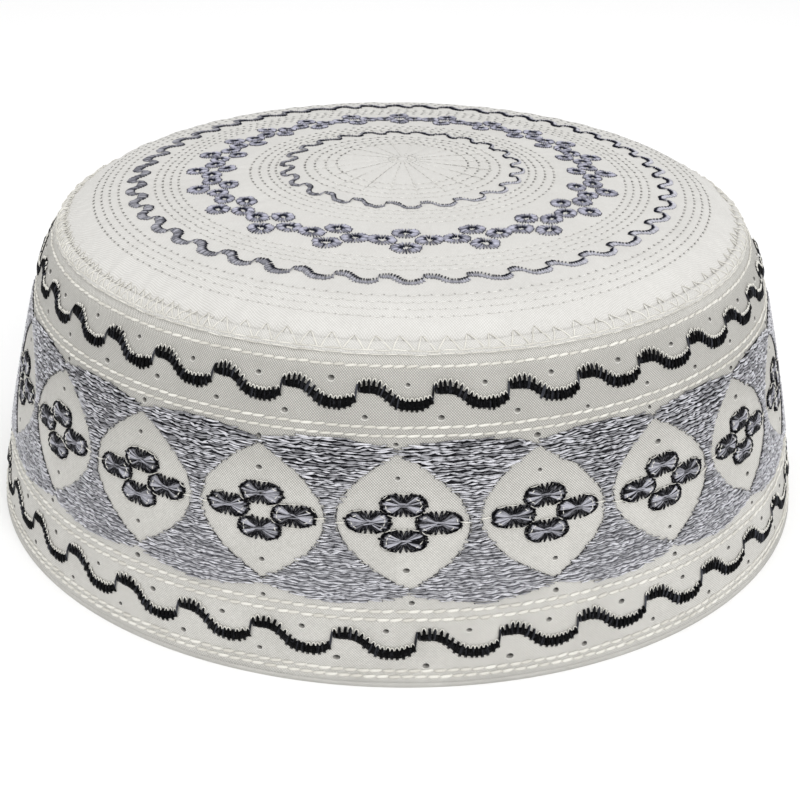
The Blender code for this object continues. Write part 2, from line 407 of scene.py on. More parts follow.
class Finish(Enum):
    """The cap's finishes, each made once."""

    # Painted shade greys the band's cloth from 31 mm to 52 mm up its map, fading out by 63 mm.
    BAND_CLOTH = WovenFinish(
        "band_cloth_weave", (0.68, 0.668, 0.633), (0.31, 0.302, 0.28), grain_mm=0.38, contrast=0.7,
        painted_shade_from_mm=31.0, painted_shade_to_mm=52.0, painted_shade_depth=0.39, painted_shade_gone_mm=63.0, grain_gain=0.9)
    STRIP_CLOTH = WovenFinish(
        "strip_cloth_weave", (0.685, 0.675, 0.647), (0.45, 0.44, 0.416), grain_mm=0.38)
    CROWN_CLOTH = WovenFinish(
        "crown_cloth_weave", (0.705, 0.697, 0.675), (0.50, 0.488, 0.462), grain_mm=0.38, depth=0.00003)
    PALE_THREAD = ThreadFinish(
        "pale_thread", (0.47, 0.45, 0.40), (0.76, 0.745, 0.69), streak=0.25)
    QUILT_THREAD = ThreadFinish(
        "quilting_thread", (0.50, 0.49, 0.46), (0.74, 0.73, 0.70), foot_painted_shade=0.15, crest_painted_shade=0.15,
        streak=0.3, specular=0.2)
    # The black thread's light colour is a painted highlight; each stitch takes a random share of it.
    BLACK_THREAD = ThreadFinish(
        "black_satin_thread", (0.001, 0.001, 0.0014), (0.095, 0.10, 0.12), roughness=0.34,
        specular=0.07, streak=0.5)
    FLOWER_THREAD = ThreadFinish(
        "flower_satin_thread", (0.0015, 0.0015, 0.003), (0.46, 0.46, 0.51), crest_painted_shade=0.20,
        specular=0.1, streak=0.7)
    SLATE_THREAD = ThreadFinish(
        "slate_satin_thread", (0.003, 0.004, 0.014), (0.62, 0.62, 0.685), foot_painted_shade=0.03,
        crest_painted_shade=0.42, specular=0.15)
    PETAL_THREAD = ThreadFinish(
        "crown_petal_thread", (0.006, 0.008, 0.024), (0.52, 0.52, 0.62), foot_painted_shade=0.34,
        crest_painted_shade=0.10, specular=0.25, streak=0.5)
    FIELD_THREAD = ThreadFinish(
        "field_fill_thread", (0.02, 0.02, 0.027), (0.82, 0.82, 0.865), foot_painted_shade=0.05, crest_painted_shade=0.05,
        streak=0.42, roughness=0.42, specular=0.3)
    FIELD_GROUND = ThreadFinish(
        "field_ground_thread", (0.003, 0.003, 0.005), (0.30, 0.30, 0.33), streak=0.8, specular=0.1)
    # Painted shade inside the holes: dark where the light misses, lighter where it falls.
    EYELET_HOLE = HoleFinish("eyelet_hole", (0.018, 0.017, 0.016), (0.60, 0.585, 0.545))
    NEEDLE_HOLE = HoleFinish("needle_hole", (0.05, 0.048, 0.045), (0.60, 0.59, 0.56))

    def material(self) -> bpy.types.Material:
        """The finish's material, made on first use."""
        return bpy.data.materials.get(self.value.name) or self.value.material()


class Slot(Enum):
    """The record's material slots."""

    CLOTH = "ivory_cloth"
    BLACK = "black_thread"
    SLATE = "slate_thread"
    GREY = "grey_thread"


# the skin


@dataclass(frozen=True)
class SkinSizes:
    """Driving sizes of the cap's outer face, the same as the solids' own."""

    rim_radius: float = 0.0920
    band_top_radius: float = 0.0802
    band_top_height: float = 0.0521
    band_bulge: float = 0.0006
    crown_edge_radius: float = 0.0640
    crown_edge_height: float = 0.0681
    crown_top_height: float = 0.0736
    dome_power: float = 1.12
    shoulder_reach_low: float = 0.0115
    shoulder_reach_high: float = 0.0030
    samples: int = 500


class Skin:
    """The cap's outer face as one line from the rim's edge to the middle of the crown."""

    SPOTS = 1400
    BLUR = 25

    def __init__(self, sizes: SkinSizes) -> None:
        """Samples the line.

        Args:
            sizes: The driving sizes.
        """
        self.sizes = sizes
        share = np.linspace(0.0, 1.0, sizes.samples)
        radius, height = (np.concatenate(parts) for parts in zip(
            self._band(share), self._shoulder(share[1:]), self._dome(share[1:])))
        steps = np.hypot(np.diff(radius), np.diff(height))
        self.reach = np.concatenate([[0.0], np.cumsum(steps)])
        self.radius, self.height = radius, height
        lean, rise = np.gradient(radius, self.reach), np.gradient(height, self.reach)
        blur, pad = np.hanning(self.BLUR), self.BLUR // 2
        blur /= blur.sum()
        even = np.linspace(0.0, self.reach[-1], self.SPOTS)
        out = [np.convolve(np.pad(np.interp(even, self.reach, part), pad, mode="edge"), blur, "valid")
               for part in (rise, -lean)]
        length = np.hypot(*out)
        self.even = even
        self.normal_radius, self.normal_height = out[0] / length, out[1] / length
        self.middle = float(self.reach[-1])

    def _band(self, share: Array) -> tuple[Array, Array]:
        """Radius and height up the band.

        Args:
            share: Shares of the way, from 0 to 1.

        Returns:
            Radii and heights.
        """
        s = self.sizes
        bulge = 4 * s.band_bulge * share * (1 - share)
        radius = s.rim_radius + (s.band_top_radius - s.rim_radius) * share + bulge
        return radius, s.band_top_height * share

    def _shoulder(self, share: Array) -> tuple[Array, Array]:
        """Radius and height over the shoulder, a cubic curve.

        Args:
            share: Shares of the way, from 0 to 1.

        Returns:
            Radii and heights.
        """
        s = self.sizes
        rise = Vector((s.band_top_radius - s.rim_radius - 4 * s.band_bulge, s.band_top_height)).normalized()
        slope = (s.crown_top_height - s.crown_edge_height) * s.dome_power / s.crown_edge_radius
        run = Vector((1.0, -slope)).normalized()
        start = Vector((s.band_top_radius, s.band_top_height))
        end = Vector((s.crown_edge_radius, s.crown_edge_height))
        corners = (start, start + rise * s.shoulder_reach_low, end + run * s.shoulder_reach_high, end)
        weights = ((1 - share) ** 3, 3 * (1 - share) ** 2 * share, 3 * (1 - share) * share ** 2, share ** 3)
        return tuple(sum(w * corner[axis] for w, corner in zip(weights, corners)) for axis in (0, 1))

    def _dome(self, share: Array) -> tuple[Array, Array]:
        """Radius and height in over the crown.

        Args:
            share: Shares of the way, from 0 to 1.

        Returns:
            Radii and heights.
        """
        s = self.sizes
        radius = s.crown_edge_radius * (1 - share)
        fall = s.crown_top_height - s.crown_edge_height
        return radius, s.crown_top_height - fall * (radius / s.crown_edge_radius) ** s.dome_power

    def at(self, place: Array) -> tuple[Array, Array, Array, Array]:
        """The skin at places along it.

        Args:
            place: Distances from the rim's edge.

        Returns:
            Radius, height, and the outward direction's share along each.
        """
        return (np.interp(place, self.reach, self.radius),
                np.interp(place, self.reach, self.height),
                np.interp(place, self.even, self.normal_radius),
                np.interp(place, self.even, self.normal_height))

    def radius_at(self, place: float) -> float:
        """The skin's radius at one place."""
        return float(np.interp(place, self.reach, self.radius))


# relief of the cloth


@dataclass(frozen=True)
class StitchLine:
    """One running-stitch ring: its place, the length of a stitch and how far it draws the cloth in."""

    place: float
    pitch: float
    depth: float
    slant: float = 0.0
    turn: float = 0.0


BAND_LINES = (
    StitchLine(0.0022, 0.0024, 0.00012, 0.00009),
    StitchLine(0.0034, 0.0024, 0.00012, 0.00009, 0.5),
    StitchLine(0.0137, 0.0024, 0.00014, 0.00010),
    StitchLine(0.0154, 0.0024, 0.00014, 0.00010, 0.4),
    StitchLine(0.0489, 0.0023, 0.00014, 0.00010, 0.2),
    StitchLine(0.0505, 0.0023, 0.00014, 0.00010, 0.7),
    StitchLine(0.0616, 0.0022, 0.00014, 0.00010),
)

CROWN_LINES = (
    StitchLine(0.0739, 0.0021, 0.00017),
    StitchLine(0.0757, 0.0021, 0.00020, 0.0, 0.3),
    StitchLine(0.0775, 0.0021, 0.00020, 0.0, 0.6),
    StitchLine(0.0794, 0.0021, 0.00020, 0.0, 0.1),
    StitchLine(0.0872, 0.0021, 0.00020),
    StitchLine(0.0889, 0.0021, 0.00020, 0.0, 0.5),
    StitchLine(0.0906, 0.0021, 0.00020, 0.0, 0.2),
    StitchLine(0.0923, 0.0021, 0.00020, 0.0, 0.8),
    StitchLine(0.1080, 0.0020, 0.00017),
    StitchLine(0.1100, 0.0020, 0.00017, 0.0, 0.4),
    StitchLine(0.1120, 0.0020, 0.00017, 0.0, 0.7),
    StitchLine(0.1136, 0.0020, 0.00017, 0.0, 0.1),
    StitchLine(0.1200, 0.0019, 0.00017),
    StitchLine(0.1222, 0.0019, 0.00017, 0.0, 0.6),
    StitchLine(0.1246, 0.0019, 0.00017, 0.0, 0.3),
    StitchLine(0.1270, 0.0019, 0.00017, 0.0, 0.9),
)


@dataclass(frozen=True)
class RippleZone:
    """A stretch of the cloth with soft random ripples."""

    low: float
    high: float
    fade: float
    amplitude: float
    fewest: int
    most: int
    slope: float
    seed: int


RIPPLES = (
    RippleZone(0.0600, 0.0760, 0.0050, 0.00016, 28, 120, 500.0, 11),
    RippleZone(0.0640, 0.0700, 0.0015, 0.00012, 90, 200, 900.0, 12),
    RippleZone(0.0000, 0.0640, 0.0040, 0.00010, 3, 26, 120.0, 13),
    RippleZone(0.0020, 0.0180, 0.0020, 0.00006, 50, 140, 700.0, 14),
    RippleZone(0.0480, 0.0630, 0.0020, 0.00007, 50, 140, 700.0, 15),
    RippleZone(0.0720, 0.1400, 0.0040, 0.00007, 20, 90, 260.0, 16),
    RippleZone(0.0590, 0.0650, 0.0015, 0.00011, 60, 150, 600.0, 17),
)


def window(place: Array, low: float, high: float, fade: float, fade_out: float | None = None) -> Array:
    """1 between two places and 0 beyond them, with a straight fade inside each.

    Args:
        place: Places along the skin.
        low: The lower limit.
        high: The upper limit.
        fade: Length of the fade at the lower limit, and at the upper one too if it has none of its own.
        fade_out: Length of the fade at the upper limit.

    Returns:
        Numbers from 0 to 1.
    """
    return np.clip((place - low) / fade, 0, 1) * np.clip((high - place) / (fade_out or fade), 0, 1)


class Relief:
    """How far the cloth stands proud of the plain skin: stitched grooves, soft ripples and the rays."""

    WAVES = 14
    GROOVE_WIDTH = 0.00055
    GROOVE_EVEN = 0.72
    GROOVE_BEAT = 0.28
    RAY_FROM = 0.1195
    RAY_FADE = 0.004
    RAY_DEPTH = 0.00022

    def __init__(self, skin: Skin) -> None:
        """Draws the ripples' random waves.

        Args:
            skin: The cap's outer face.
        """
        self.skin = skin
        self.waves = []
        for zone in RIPPLES:
            draw = np.random.default_rng(zone.seed)
            counts = draw.integers(zone.fewest, zone.most, self.WAVES)
            slopes = draw.uniform(-zone.slope, zone.slope, self.WAVES)
            phases = draw.uniform(0.0, tau, self.WAVES)
            self.waves.append((zone, counts, slopes, phases))

    def at(self, angle: Array, place: Array) -> Array:
        """The relief at spots of the skin.

        Args:
            angle: Angles from the front.
            place: Places along the skin.

        Returns:
            Heights proud of the skin, negative in a groove.
        """
        angle, place = np.broadcast_arrays(angle, place)
        proud = np.zeros(place.shape)
        for line in BAND_LINES + CROWN_LINES:
            near = np.exp(-((place - line.place) / self.GROOVE_WIDTH) ** 2)
            stitches = line_count(self.skin, line)
            beat = self.GROOVE_EVEN + self.GROOVE_BEAT * np.cos(stitches * angle - line.turn * tau)
            proud = proud - line.depth * near * beat
        for zone, counts, slopes, phases in self.waves:
            share = window(place, zone.low, zone.high, zone.fade)
            if not share.any():
                continue
            total = np.zeros(place.shape)
            for count, slope, phase in zip(counts, slopes, phases):
                total += np.sin(count * angle + slope * place + phase)
            proud = proud + zone.amplitude * share * total / self.WAVES ** 0.5
        depth = self.RAY_DEPTH * window(place, self.RAY_FROM, self.skin.middle, self.RAY_FADE)
        return proud - depth * np.maximum(0.0, np.cos(RAYS * (angle - RAY_TURN))) ** 4


def line_count(skin: Skin, line: StitchLine) -> int:
    """Stitches round the cap on one running-stitch ring."""
    return int(round(tau * skin.radius_at(line.place) / line.pitch))


@dataclass
class CapShape:
    """The skin with its relief: where every piece is laid."""

    skin: Skin = field(default_factory=lambda: Skin(SkinSizes()))
    dip: float = 0.0025
    dip_low: float = 0.0670
    dip_high: float = 0.0808
    dip_fades: tuple[float, float] = (0.0060, 0.0014)

    def __post_init__(self) -> None:
        """Adds the relief."""
        self.relief = Relief(self.skin)

    def settled(self, angle: Array, place: Array) -> Array:
        """Where the places come to lie: the outer quilting of the crown sits a little lower in front."""
        share = window(place, self.dip_low, self.dip_high, *self.dip_fades)
        return place - self.dip * share * np.maximum(0.0, np.cos(angle)) ** 2

    def points(self, angle: Array, place: Array, proud: Array, follow: Array | float = 1.0) -> Array:
        """Points in space.

        Args:
            angle: Angles from the front.
            place: Places along the skin.
            proud: Distances out from the cloth.
            follow: Share of the cloth's relief that the points follow.

        Returns:
            Their coordinates, in a last axis of three.
        """
        angle, place, proud = np.broadcast_arrays(angle, place, proud)
        radius, height, out, up = self.skin.at(self.settled(angle, place))
        lift = proud + follow * self.relief.at(angle, place)
        radius, height = radius + out * lift, height + up * lift
        return np.stack([radius * np.sin(angle), -radius * np.cos(angle), height], axis=-1)

    def outward(self, angle: Array, place: Array) -> Array:
        """Unit directions out of the plain skin.

        Args:
            angle: Angles from the front.
            place: Places along the skin.

        Returns:
            The directions, in a last axis of three.
        """
        angle, place = np.broadcast_arrays(angle, place)
        _, _, out, up = self.skin.at(place)
        return np.stack([out * np.sin(angle), -out * np.cos(angle), up], axis=-1)

    def corner(self, place: float, proud: float) -> list[float]:
        """A corner of a turned section: radius, height, place and the outward direction's two shares."""
        radius, height, out, up = (float(part) for part in self.skin.at(np.array(place)))
        return [radius + out * proud, height + up * proud, place, out, up]


# meshes


@dataclass
class Patch:
    """Points and faces of a mesh in the making, with their map, shade and finish numbers."""

    points: Array
    faces: list[Array]
    maps: list[Array]
    shade: Array
    along: Array
    finish: int = 0


def stood(name: str, data: bpy.types.ID) -> bpy.types.Object:
    """Puts a new object into the scene.

    Args:
        name: The object's name.
        data: Its mesh, light or camera.

    Returns:
        The object.
    """
    made = bpy.data.objects.new(name, data)
    bpy.context.scene.collection.objects.link(made)
    return made


def object_of(name: str, patches: Sequence[Patch], finishes: Sequence[Finish]) -> bpy.types.Object:
    """Makes one object of several patches.

    Args:
        name: The object's name.
        patches: What it is made of. Each names its finish by number.
        finishes: The finishes, in that order.

    Returns:
        The object, linked into the scene and smooth.
    """
    mesh = bpy.data.meshes.new(name)
    offsets = np.cumsum([0] + [len(patch.points) for patch in patches])
    groups = [(group + offset, maps, patch.finish)
              for patch, offset in zip(patches, offsets) for group, maps in zip(patch.faces, patch.maps)]
    points = np.concatenate([patch.points for patch in patches])
    corners = np.concatenate([group.ravel() for group, _, _ in groups])
    sizes = np.concatenate([np.full(len(group), group.shape[1]) for group, _, _ in groups])
    numbers = np.concatenate([np.full(len(group), finish) for group, _, finish in groups])
    mesh.vertices.add(len(points))
    mesh.vertices.foreach_set("co", points.astype(np.float32).ravel())
    mesh.loops.add(len(corners))
    mesh.loops.foreach_set("vertex_index", corners.astype(np.int32))
    mesh.polygons.add(len(sizes))
    mesh.polygons.foreach_set("loop_start", np.concatenate([[0], np.cumsum(sizes)[:-1]]).astype(np.int32))
    mesh.polygons.foreach_set("material_index", numbers.astype(np.int32))
    mesh.update(calc_edges=True)
    maps = np.concatenate([spots.ravel() for _, spots, _ in groups]).astype(np.float32)
    mesh.uv_layers.new(name=CLOTH_MAP).uv.foreach_set("vector", maps)
    for key in (SHADE, ALONG):
        values = np.concatenate([getattr(patch, key) for patch in patches]).astype(np.float32)
        mesh.attributes.new(key, "FLOAT", "POINT").data.foreach_set("value", values)
    for finish in finishes:
        mesh.materials.append(finish.material())
    mesh.validate()
    mesh.shade_smooth()
    return stood(name, mesh)


def settle(piece: bpy.types.Object, slot: Slot, replaced: Sequence[str] = ()) -> bpy.types.Object:
    """Lets a piece ride on the cap and says what it stands for.

    Args:
        piece: The piece.
        slot: The record's slot, named in the log.
        replaced: The solids that it stands for.

    Returns:
        The piece.
    """
    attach(piece, "root")
    if replaced:
        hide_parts(*replaced)
    triangles = sum(len(polygon.vertices) - 2 for polygon in piece.data.polygons)
    log.info("%s: %d triangles, slot %s, stands for %s", piece.name, triangles, slot.value,
             ", ".join(replaced) or "nothing")
    return piece


# threads


@dataclass
class Strands:
    """Many threads at once: a row for a thread, a column for a point along it, and one shade a thread."""

    angle: Array
    place: Array
    proud: Array
    width: Array
    height: Array
    shade: Array

    @staticmethod
    def joined(parts: Sequence["Strands"]) -> "Strands":
        """Several batches with the same number of points as one."""
        names = ("angle", "place", "proud", "width", "height", "shade")
        return Strands(*[np.concatenate([getattr(part, name) for part in parts]) for name in names])


@dataclass(frozen=True)
class Bow:
    """How a stitch stands: half its width and height, how proud its ends and middle are, and its taper."""

    width: float
    height: float
    foot: float
    rise: float
    taper: float = 0.45
    points: int = 5


def bowed(start: Sequence[Array], end: Sequence[Array], bow: Bow, shade: Array) -> Strands:
    """Stitches that rise between two ends and dive at both.

    Args:
        start: Angles and places of the first ends.
        end: Angles and places of the second ends.
        bow: How they stand.
        shade: Each stitch's own shade.

    Returns:
        The stitches.
    """
    share = np.linspace(0.0, 1.0, bow.points)[None, :]
    first = [np.asarray(part, float)[:, None] for part in start]
    last = [np.asarray(part, float)[:, None] for part in end]
    angle, place = (a + (b - a) * share for a, b in zip(first, last))
    arch = np.sin(pi * share) ** 0.7
    slim = (1.0 - bow.taper * np.abs(2.0 * share - 1.0) ** 3) * np.ones(angle.shape)
    proud = bow.foot + bow.rise * arch * np.ones(angle.shape)
    return Strands(angle, place, proud, bow.width * slim, bow.height * slim, np.asarray(shade, float))


def merged(spots: Sequence[tuple[Array, Array]]) -> tuple[Array, Array]:
    """Several batches of angles and places as one."""
    return tuple(np.concatenate([spot[axis] for spot in spots]) for axis in (0, 1))


def spun(shape: CapShape, strands: Strands, sides: int = 4, finish: int = 0) -> Patch:
    """Turns threads into closed tubes that lie on the cloth. Each starts elsewhere on the map.

    Args:
        shape: The cap.
        strands: The threads.
        sides: Corners of a thread's section.
        finish: The finish's number in the piece.

    Returns:
        The tubes.
    """
    centre = shape.points(strands.angle, strands.place, strands.proud)
    outward = shape.outward(strands.angle, strands.place)
    count, steps = strands.angle.shape
    forward = np.gradient(centre, axis=1)
    forward /= np.maximum(np.linalg.norm(forward, axis=-1, keepdims=True), 1e-12)
    beside = np.cross(outward, forward)
    beside /= np.maximum(np.linalg.norm(beside, axis=-1, keepdims=True), 1e-12)
    over = np.cross(forward, beside)
    turn = pi / 2.0 + tau * np.arange(sides) / sides
    ring = (centre[:, :, None, :]
            + (strands.width[:, :, None] * np.cos(turn))[..., None] * beside[:, :, None, :]
            + (strands.height[:, :, None] * np.sin(turn))[..., None] * over[:, :, None, :])
    number = np.arange(count * steps * sides).reshape(count, steps, sides)
    following = np.roll(number, -1, axis=2)
    walls = np.stack([number[:, :-1], following[:, :-1], following[:, 1:], number[:, 1:]], axis=-1)
    lengths = np.linalg.norm(np.diff(centre, axis=1), axis=-1)
    length = np.concatenate([np.zeros((count, 1)), np.cumsum(lengths, 1)], axis=1) / MM
    length = length + (np.arange(count) * MAP_STEP % MAP_SPAN)[:, None]
    girth = 2.0 * pi * float(np.mean(strands.width)) / MM
    low = np.broadcast_to((np.arange(sides) / sides * girth)[None, None, :], (count, steps - 1, sides))
    high = low + girth / sides
    here = np.broadcast_to(length[:, :-1, None], low.shape)
    there = np.broadcast_to(length[:, 1:, None], low.shape)
    corners = ((here, low), (here, high), (there, high), (there, low))
    wall_map = np.stack([np.stack(corner, -1) for corner in corners], axis=-2).reshape(-1, 4, 2)
    caps = [number[:, 0, ::-1], number[:, -1, :]]
    cap_maps = [np.zeros((count, sides, 2)) for _ in caps]
    shade = np.repeat(strands.shade, steps * sides)
    along = np.broadcast_to(np.linspace(0, 1, steps)[None, :, None], (count, steps, sides)).ravel()
    return Patch(ring.reshape(-1, 3), [walls.reshape(-1, 4), *caps], [wall_map, *cap_maps], shade, along,
                 finish)


def discs(shape: CapShape, angle: Array, place: Array, radius: Array | float, broad: Array | float,
          rise: float, sides: int, lighter: Array | float = 0.0) -> Patch:
    """Small shallow hollows on the cloth, closed beneath, painted dark as shade and darker on their upper
    side.

    Args:
        shape: The cap.
        angle: Angles of their middles.
        place: Places of their middles.
        radius: Half their heights.
        broad: How much broader they are than tall.
        rise: How far their edges stand above the cloth.
        sides: Corners of an edge.
        lighter: How much lighter each is, with less painted shade.

    Returns:
        The hollows, with the piece's second finish.
    """
    angle, place = np.asarray(angle, float), np.asarray(place, float)
    turn = tau * np.arange(sides) / sides
    around = np.maximum(shape.skin.at(place)[0], 0.002)[:, None]
    half = np.broadcast_to(radius, angle.shape)[:, None]
    wide = half * np.broadcast_to(broad, angle.shape)[:, None]
    rim_angle = angle[:, None] + wide * np.cos(turn) / around
    rim_place = place[:, None] + half * np.sin(turn)
    rim = shape.points(rim_angle, rim_place, rise)
    top = shape.points(angle, place, 0.00001)[:, None, :]
    foot = shape.points(angle, place, -0.0002)[:, None, :]
    points = np.concatenate([rim, top, foot], axis=1)
    number = np.arange(len(angle) * (sides + 2)).reshape(len(angle), sides + 2)
    edge, beyond = number[:, :sides], np.roll(number[:, :sides], -1, axis=1)
    upper = np.stack([edge, beyond, np.repeat(number[:, [sides]], sides, 1)], -1).reshape(-1, 3)
    lower = np.stack([beyond, edge, np.repeat(number[:, [sides + 1]], sides, 1)], -1).reshape(-1, 3)
    empty = np.zeros((len(upper), 3, 2))
    # Painted shade: the rim is darker on its upper side and the middle is dark.
    shade = np.concatenate([0.45 - 0.5 * np.sin(turn + 0.5), [0.12, 0.0]])[None, :]
    shade = (shade + np.broadcast_to(lighter, angle.shape)[:, None]).ravel()
    return Patch(points.reshape(-1, 3), [upper, lower], [empty, empty], shade, shade, 1)


# cloth pieces


def ring_shell(name: str, section: Array, follow: Array, scale: Array, turns: int, relief: Relief,
               finishes: Sequence[Finish]) -> bpy.types.Object:
    """Turns a closed section about +Z, its outer face following the cloth's relief.

    Args:
        name: The piece's name.
        section: Radius, height, place, outward radius and outward height of each corner, in order.
        follow: Share of the relief that each corner follows.
        scale: The map's second number at each corner, in millimetres.
        turns: Steps round the cap.
        relief: The cloth's relief.
        finishes: The piece's finish.

    Returns:
        The closed ring.
    """
    angle = (np.arange(turns) * tau / turns)[:, None]
    radius, height, place, out, up = (column[None, :] for column in section.T)
    lift = follow[None, :] * relief.at(angle + 0 * place, place + 0 * angle)
    radius, height = radius + out * lift, height + up * lift
    points = np.stack([radius * np.sin(angle), -radius * np.cos(angle), height], axis=-1)
    corners = len(section)
    number = np.arange(turns * corners).reshape(turns, corners)
    nearby, upward = np.roll(number, -1, axis=0), np.roll(number, -1, axis=1)
    both = np.roll(nearby, -1, axis=1)
    faces = np.stack([number, nearby, both, upward], axis=-1).reshape(-1, 4)
    mean = float(np.mean(section[:, 0])) / MM
    across = (np.arange(turns + 1) * tau / turns * mean)
    u = np.stack([across[:-1], across[1:], across[1:], across[:-1]], -1)[:, None, :].repeat(corners, 1)
    upward_scale = np.append(scale[1:], scale[-1])
    v = np.stack([scale, scale, upward_scale, upward_scale], -1)[None, :, :].repeat(turns, 0)
    maps = np.stack([u, v], -1).reshape(-1, 4, 2)
    flat = np.full(turns * corners, 0.5)
    patch = Patch(points.reshape(-1, 3), [faces], [maps], flat, flat)
    return object_of(name, [patch], finishes)


def dense_places(low: float, high: float, lines: Sequence[StitchLine], coarse: float, fine: float) -> Array:
    """Places between two limits, closer together at the stitched lines.

    Args:
        low: First place.
        high: Last place.
        lines: The stitched lines.
        coarse: Spacing away from them.
        fine: Spacing on them.

    Returns:
        The places, in order.
    """
    places = [low]
    while places[-1] < high:
        nearest = min([abs(places[-1] - line.place) for line in lines] + [1.0])
        step = fine if nearest < LINE_NEAR else coarse
        places.append(places[-1] + step)
    made = np.array(places)
    return low + (made - low) * (high - low) / (made[-1] - low)


@dataclass
class BandCloth:
    """The stiff tapered wall's cloth, from the hem's fold to the seam under the strip."""

    shape: CapShape
    hem: str = "hem_cloth"
    foot: float = 0.00096
    top: float = 0.06535
    cloth: float = 0.0020
    turns: int = 640
    girth: float = 0.578
    cut_width: float = 0.0665

    def build(self) -> bpy.types.Object:
        """Returns:
            The band.
        """
        places = dense_places(self.foot, self.top, BAND_LINES, 0.0011, 0.00055)
        inner = np.linspace(self.top, self.foot, 14)
        section = np.array([self.shape.corner(place, 0.0) for place in places]
                           + [self.shape.corner(place, -self.cloth) for place in inner])
        follow = np.concatenate([np.ones(len(places)), np.zeros(len(inner))])
        scale = np.concatenate([places, inner[0] * 2 - inner + 0.002]) / MM
        piece = ring_shell("band_cloth", section, follow, scale, self.turns, self.shape.relief,
                           [Finish.BAND_CLOTH])
        settle(piece, Slot.CLOTH, ["side_band"])
        return piece


@dataclass
class HemCloth:
    """The folded hem: flat under the wall's foot, rounded at its edge, then turned up inside."""

    shape: CapShape
    fold: float = 0.0009
    wall: float = 0.0020
    gap: float = 0.0003
    depth: float = 0.0080
    rounding: float = 0.0004
    spacing: float = 0.0011
    turns: int = 384

    def build(self) -> bpy.types.Object:
        """Builds and rides the hem.

        Returns:
            The hem.
        """
        near = -self.wall - self.gap
        far = near - self.fold
        turn = np.linspace(pi, 1.5 * pi, 5)
        edge = [(-self.rounding * 0.2 * (1 - sin(t - pi)), self.rounding * (1 + sin(t))) for t in turn]
        corners = [(self._out(height, shift), height) for shift, height in reversed(edge)]
        corners.append((self._out(self.fold, 0.0), self.fold))
        corners += [(self._out(self.fold, near), self.fold), (self._out(self.depth, near), self.depth)]
        corners += [(self._out(self.depth, far), self.depth), (self._out(0.0, far), 0.0)]
        spread = []
        for here, there in zip(corners, corners[1:] + corners[:1]):
            pieces = max(1, int(hypot(there[0] - here[0], there[1] - here[1]) / self.spacing))
            for step in range(pieces):
                spread.append([here[axis] + (there[axis] - here[axis]) * step / pieces for axis in (0, 1)])
        section = np.array([[radius, height, height, 0.0, 0.0] for radius, height in spread])
        scale = np.arange(len(section)) * 0.9
        piece = ring_shell("hem_cloth", section, np.zeros(len(section)), scale, self.turns,
                           self.shape.relief, [Finish.BAND_CLOTH])
        return settle(piece, Slot.CLOTH, ["hem_fold"])

    def _out(self, height: float, proud: float) -> float:
        """Radius at a height near the rim, a distance out from the skin.

        Args:
            height: The height.
            proud: The distance out.

        Returns:
            The radius.
        """
        place = np.interp(height, self.shape.skin.height[:300], self.shape.skin.reach[:300])
        radius, _, out, up = (float(part) for part in self.shape.skin.at(np.array(place)))
        return radius + proud / max(out, 0.1)


@dataclass
class SeamStrip:
    """The narrow folded strip over the joint of the band and the crown."""

    shape: CapShape
    turns: int = 640

    LOW = 0.0636
    HIGH = 0.0663
    FOOT = 0.00005
    TOP = 0.0007
    ROUNDING = 0.0007
    SUNK = 0.0002

    @classmethod
    def cover(cls, place: Array) -> Array:
        """How far the strip's outer face stands proud of the skin at a place, with rounded edges.

        Args:
            place: Places along the skin.

        Returns:
            Heights proud of the skin.
        """
        inside = np.minimum(place - cls.LOW, cls.HIGH - place) / cls.ROUNDING
        round_off = np.sqrt(np.clip(1.0 - (1.0 - np.clip(inside, 0.0, 1.0)) ** 2, 0.0, 1.0))
        return cls.FOOT + (cls.TOP - cls.FOOT) * round_off

    def build(self) -> bpy.types.Object:
        """Builds and rides the strip.

        Returns:
            The strip.
        """
        outer = self.LOW + (self.HIGH - self.LOW) * (0.5 - 0.5 * np.cos(np.linspace(0.0, pi, 9)))
        under = outer[::-1][1:-1:2]
        rows = [self.shape.corner(place, float(self.cover(place))) for place in outer]
        rows += [self.shape.corner(place, -self.SUNK) for place in under]
        scale = np.concatenate([outer, 2 * self.HIGH - under]) / MM
        piece = ring_shell("seam_strip_cloth", np.array(rows), np.ones(len(rows)), scale, self.turns,
                           self.shape.relief, [Finish.STRIP_CLOTH])
        return settle(piece, Slot.CLOTH, ["seam_strip"])


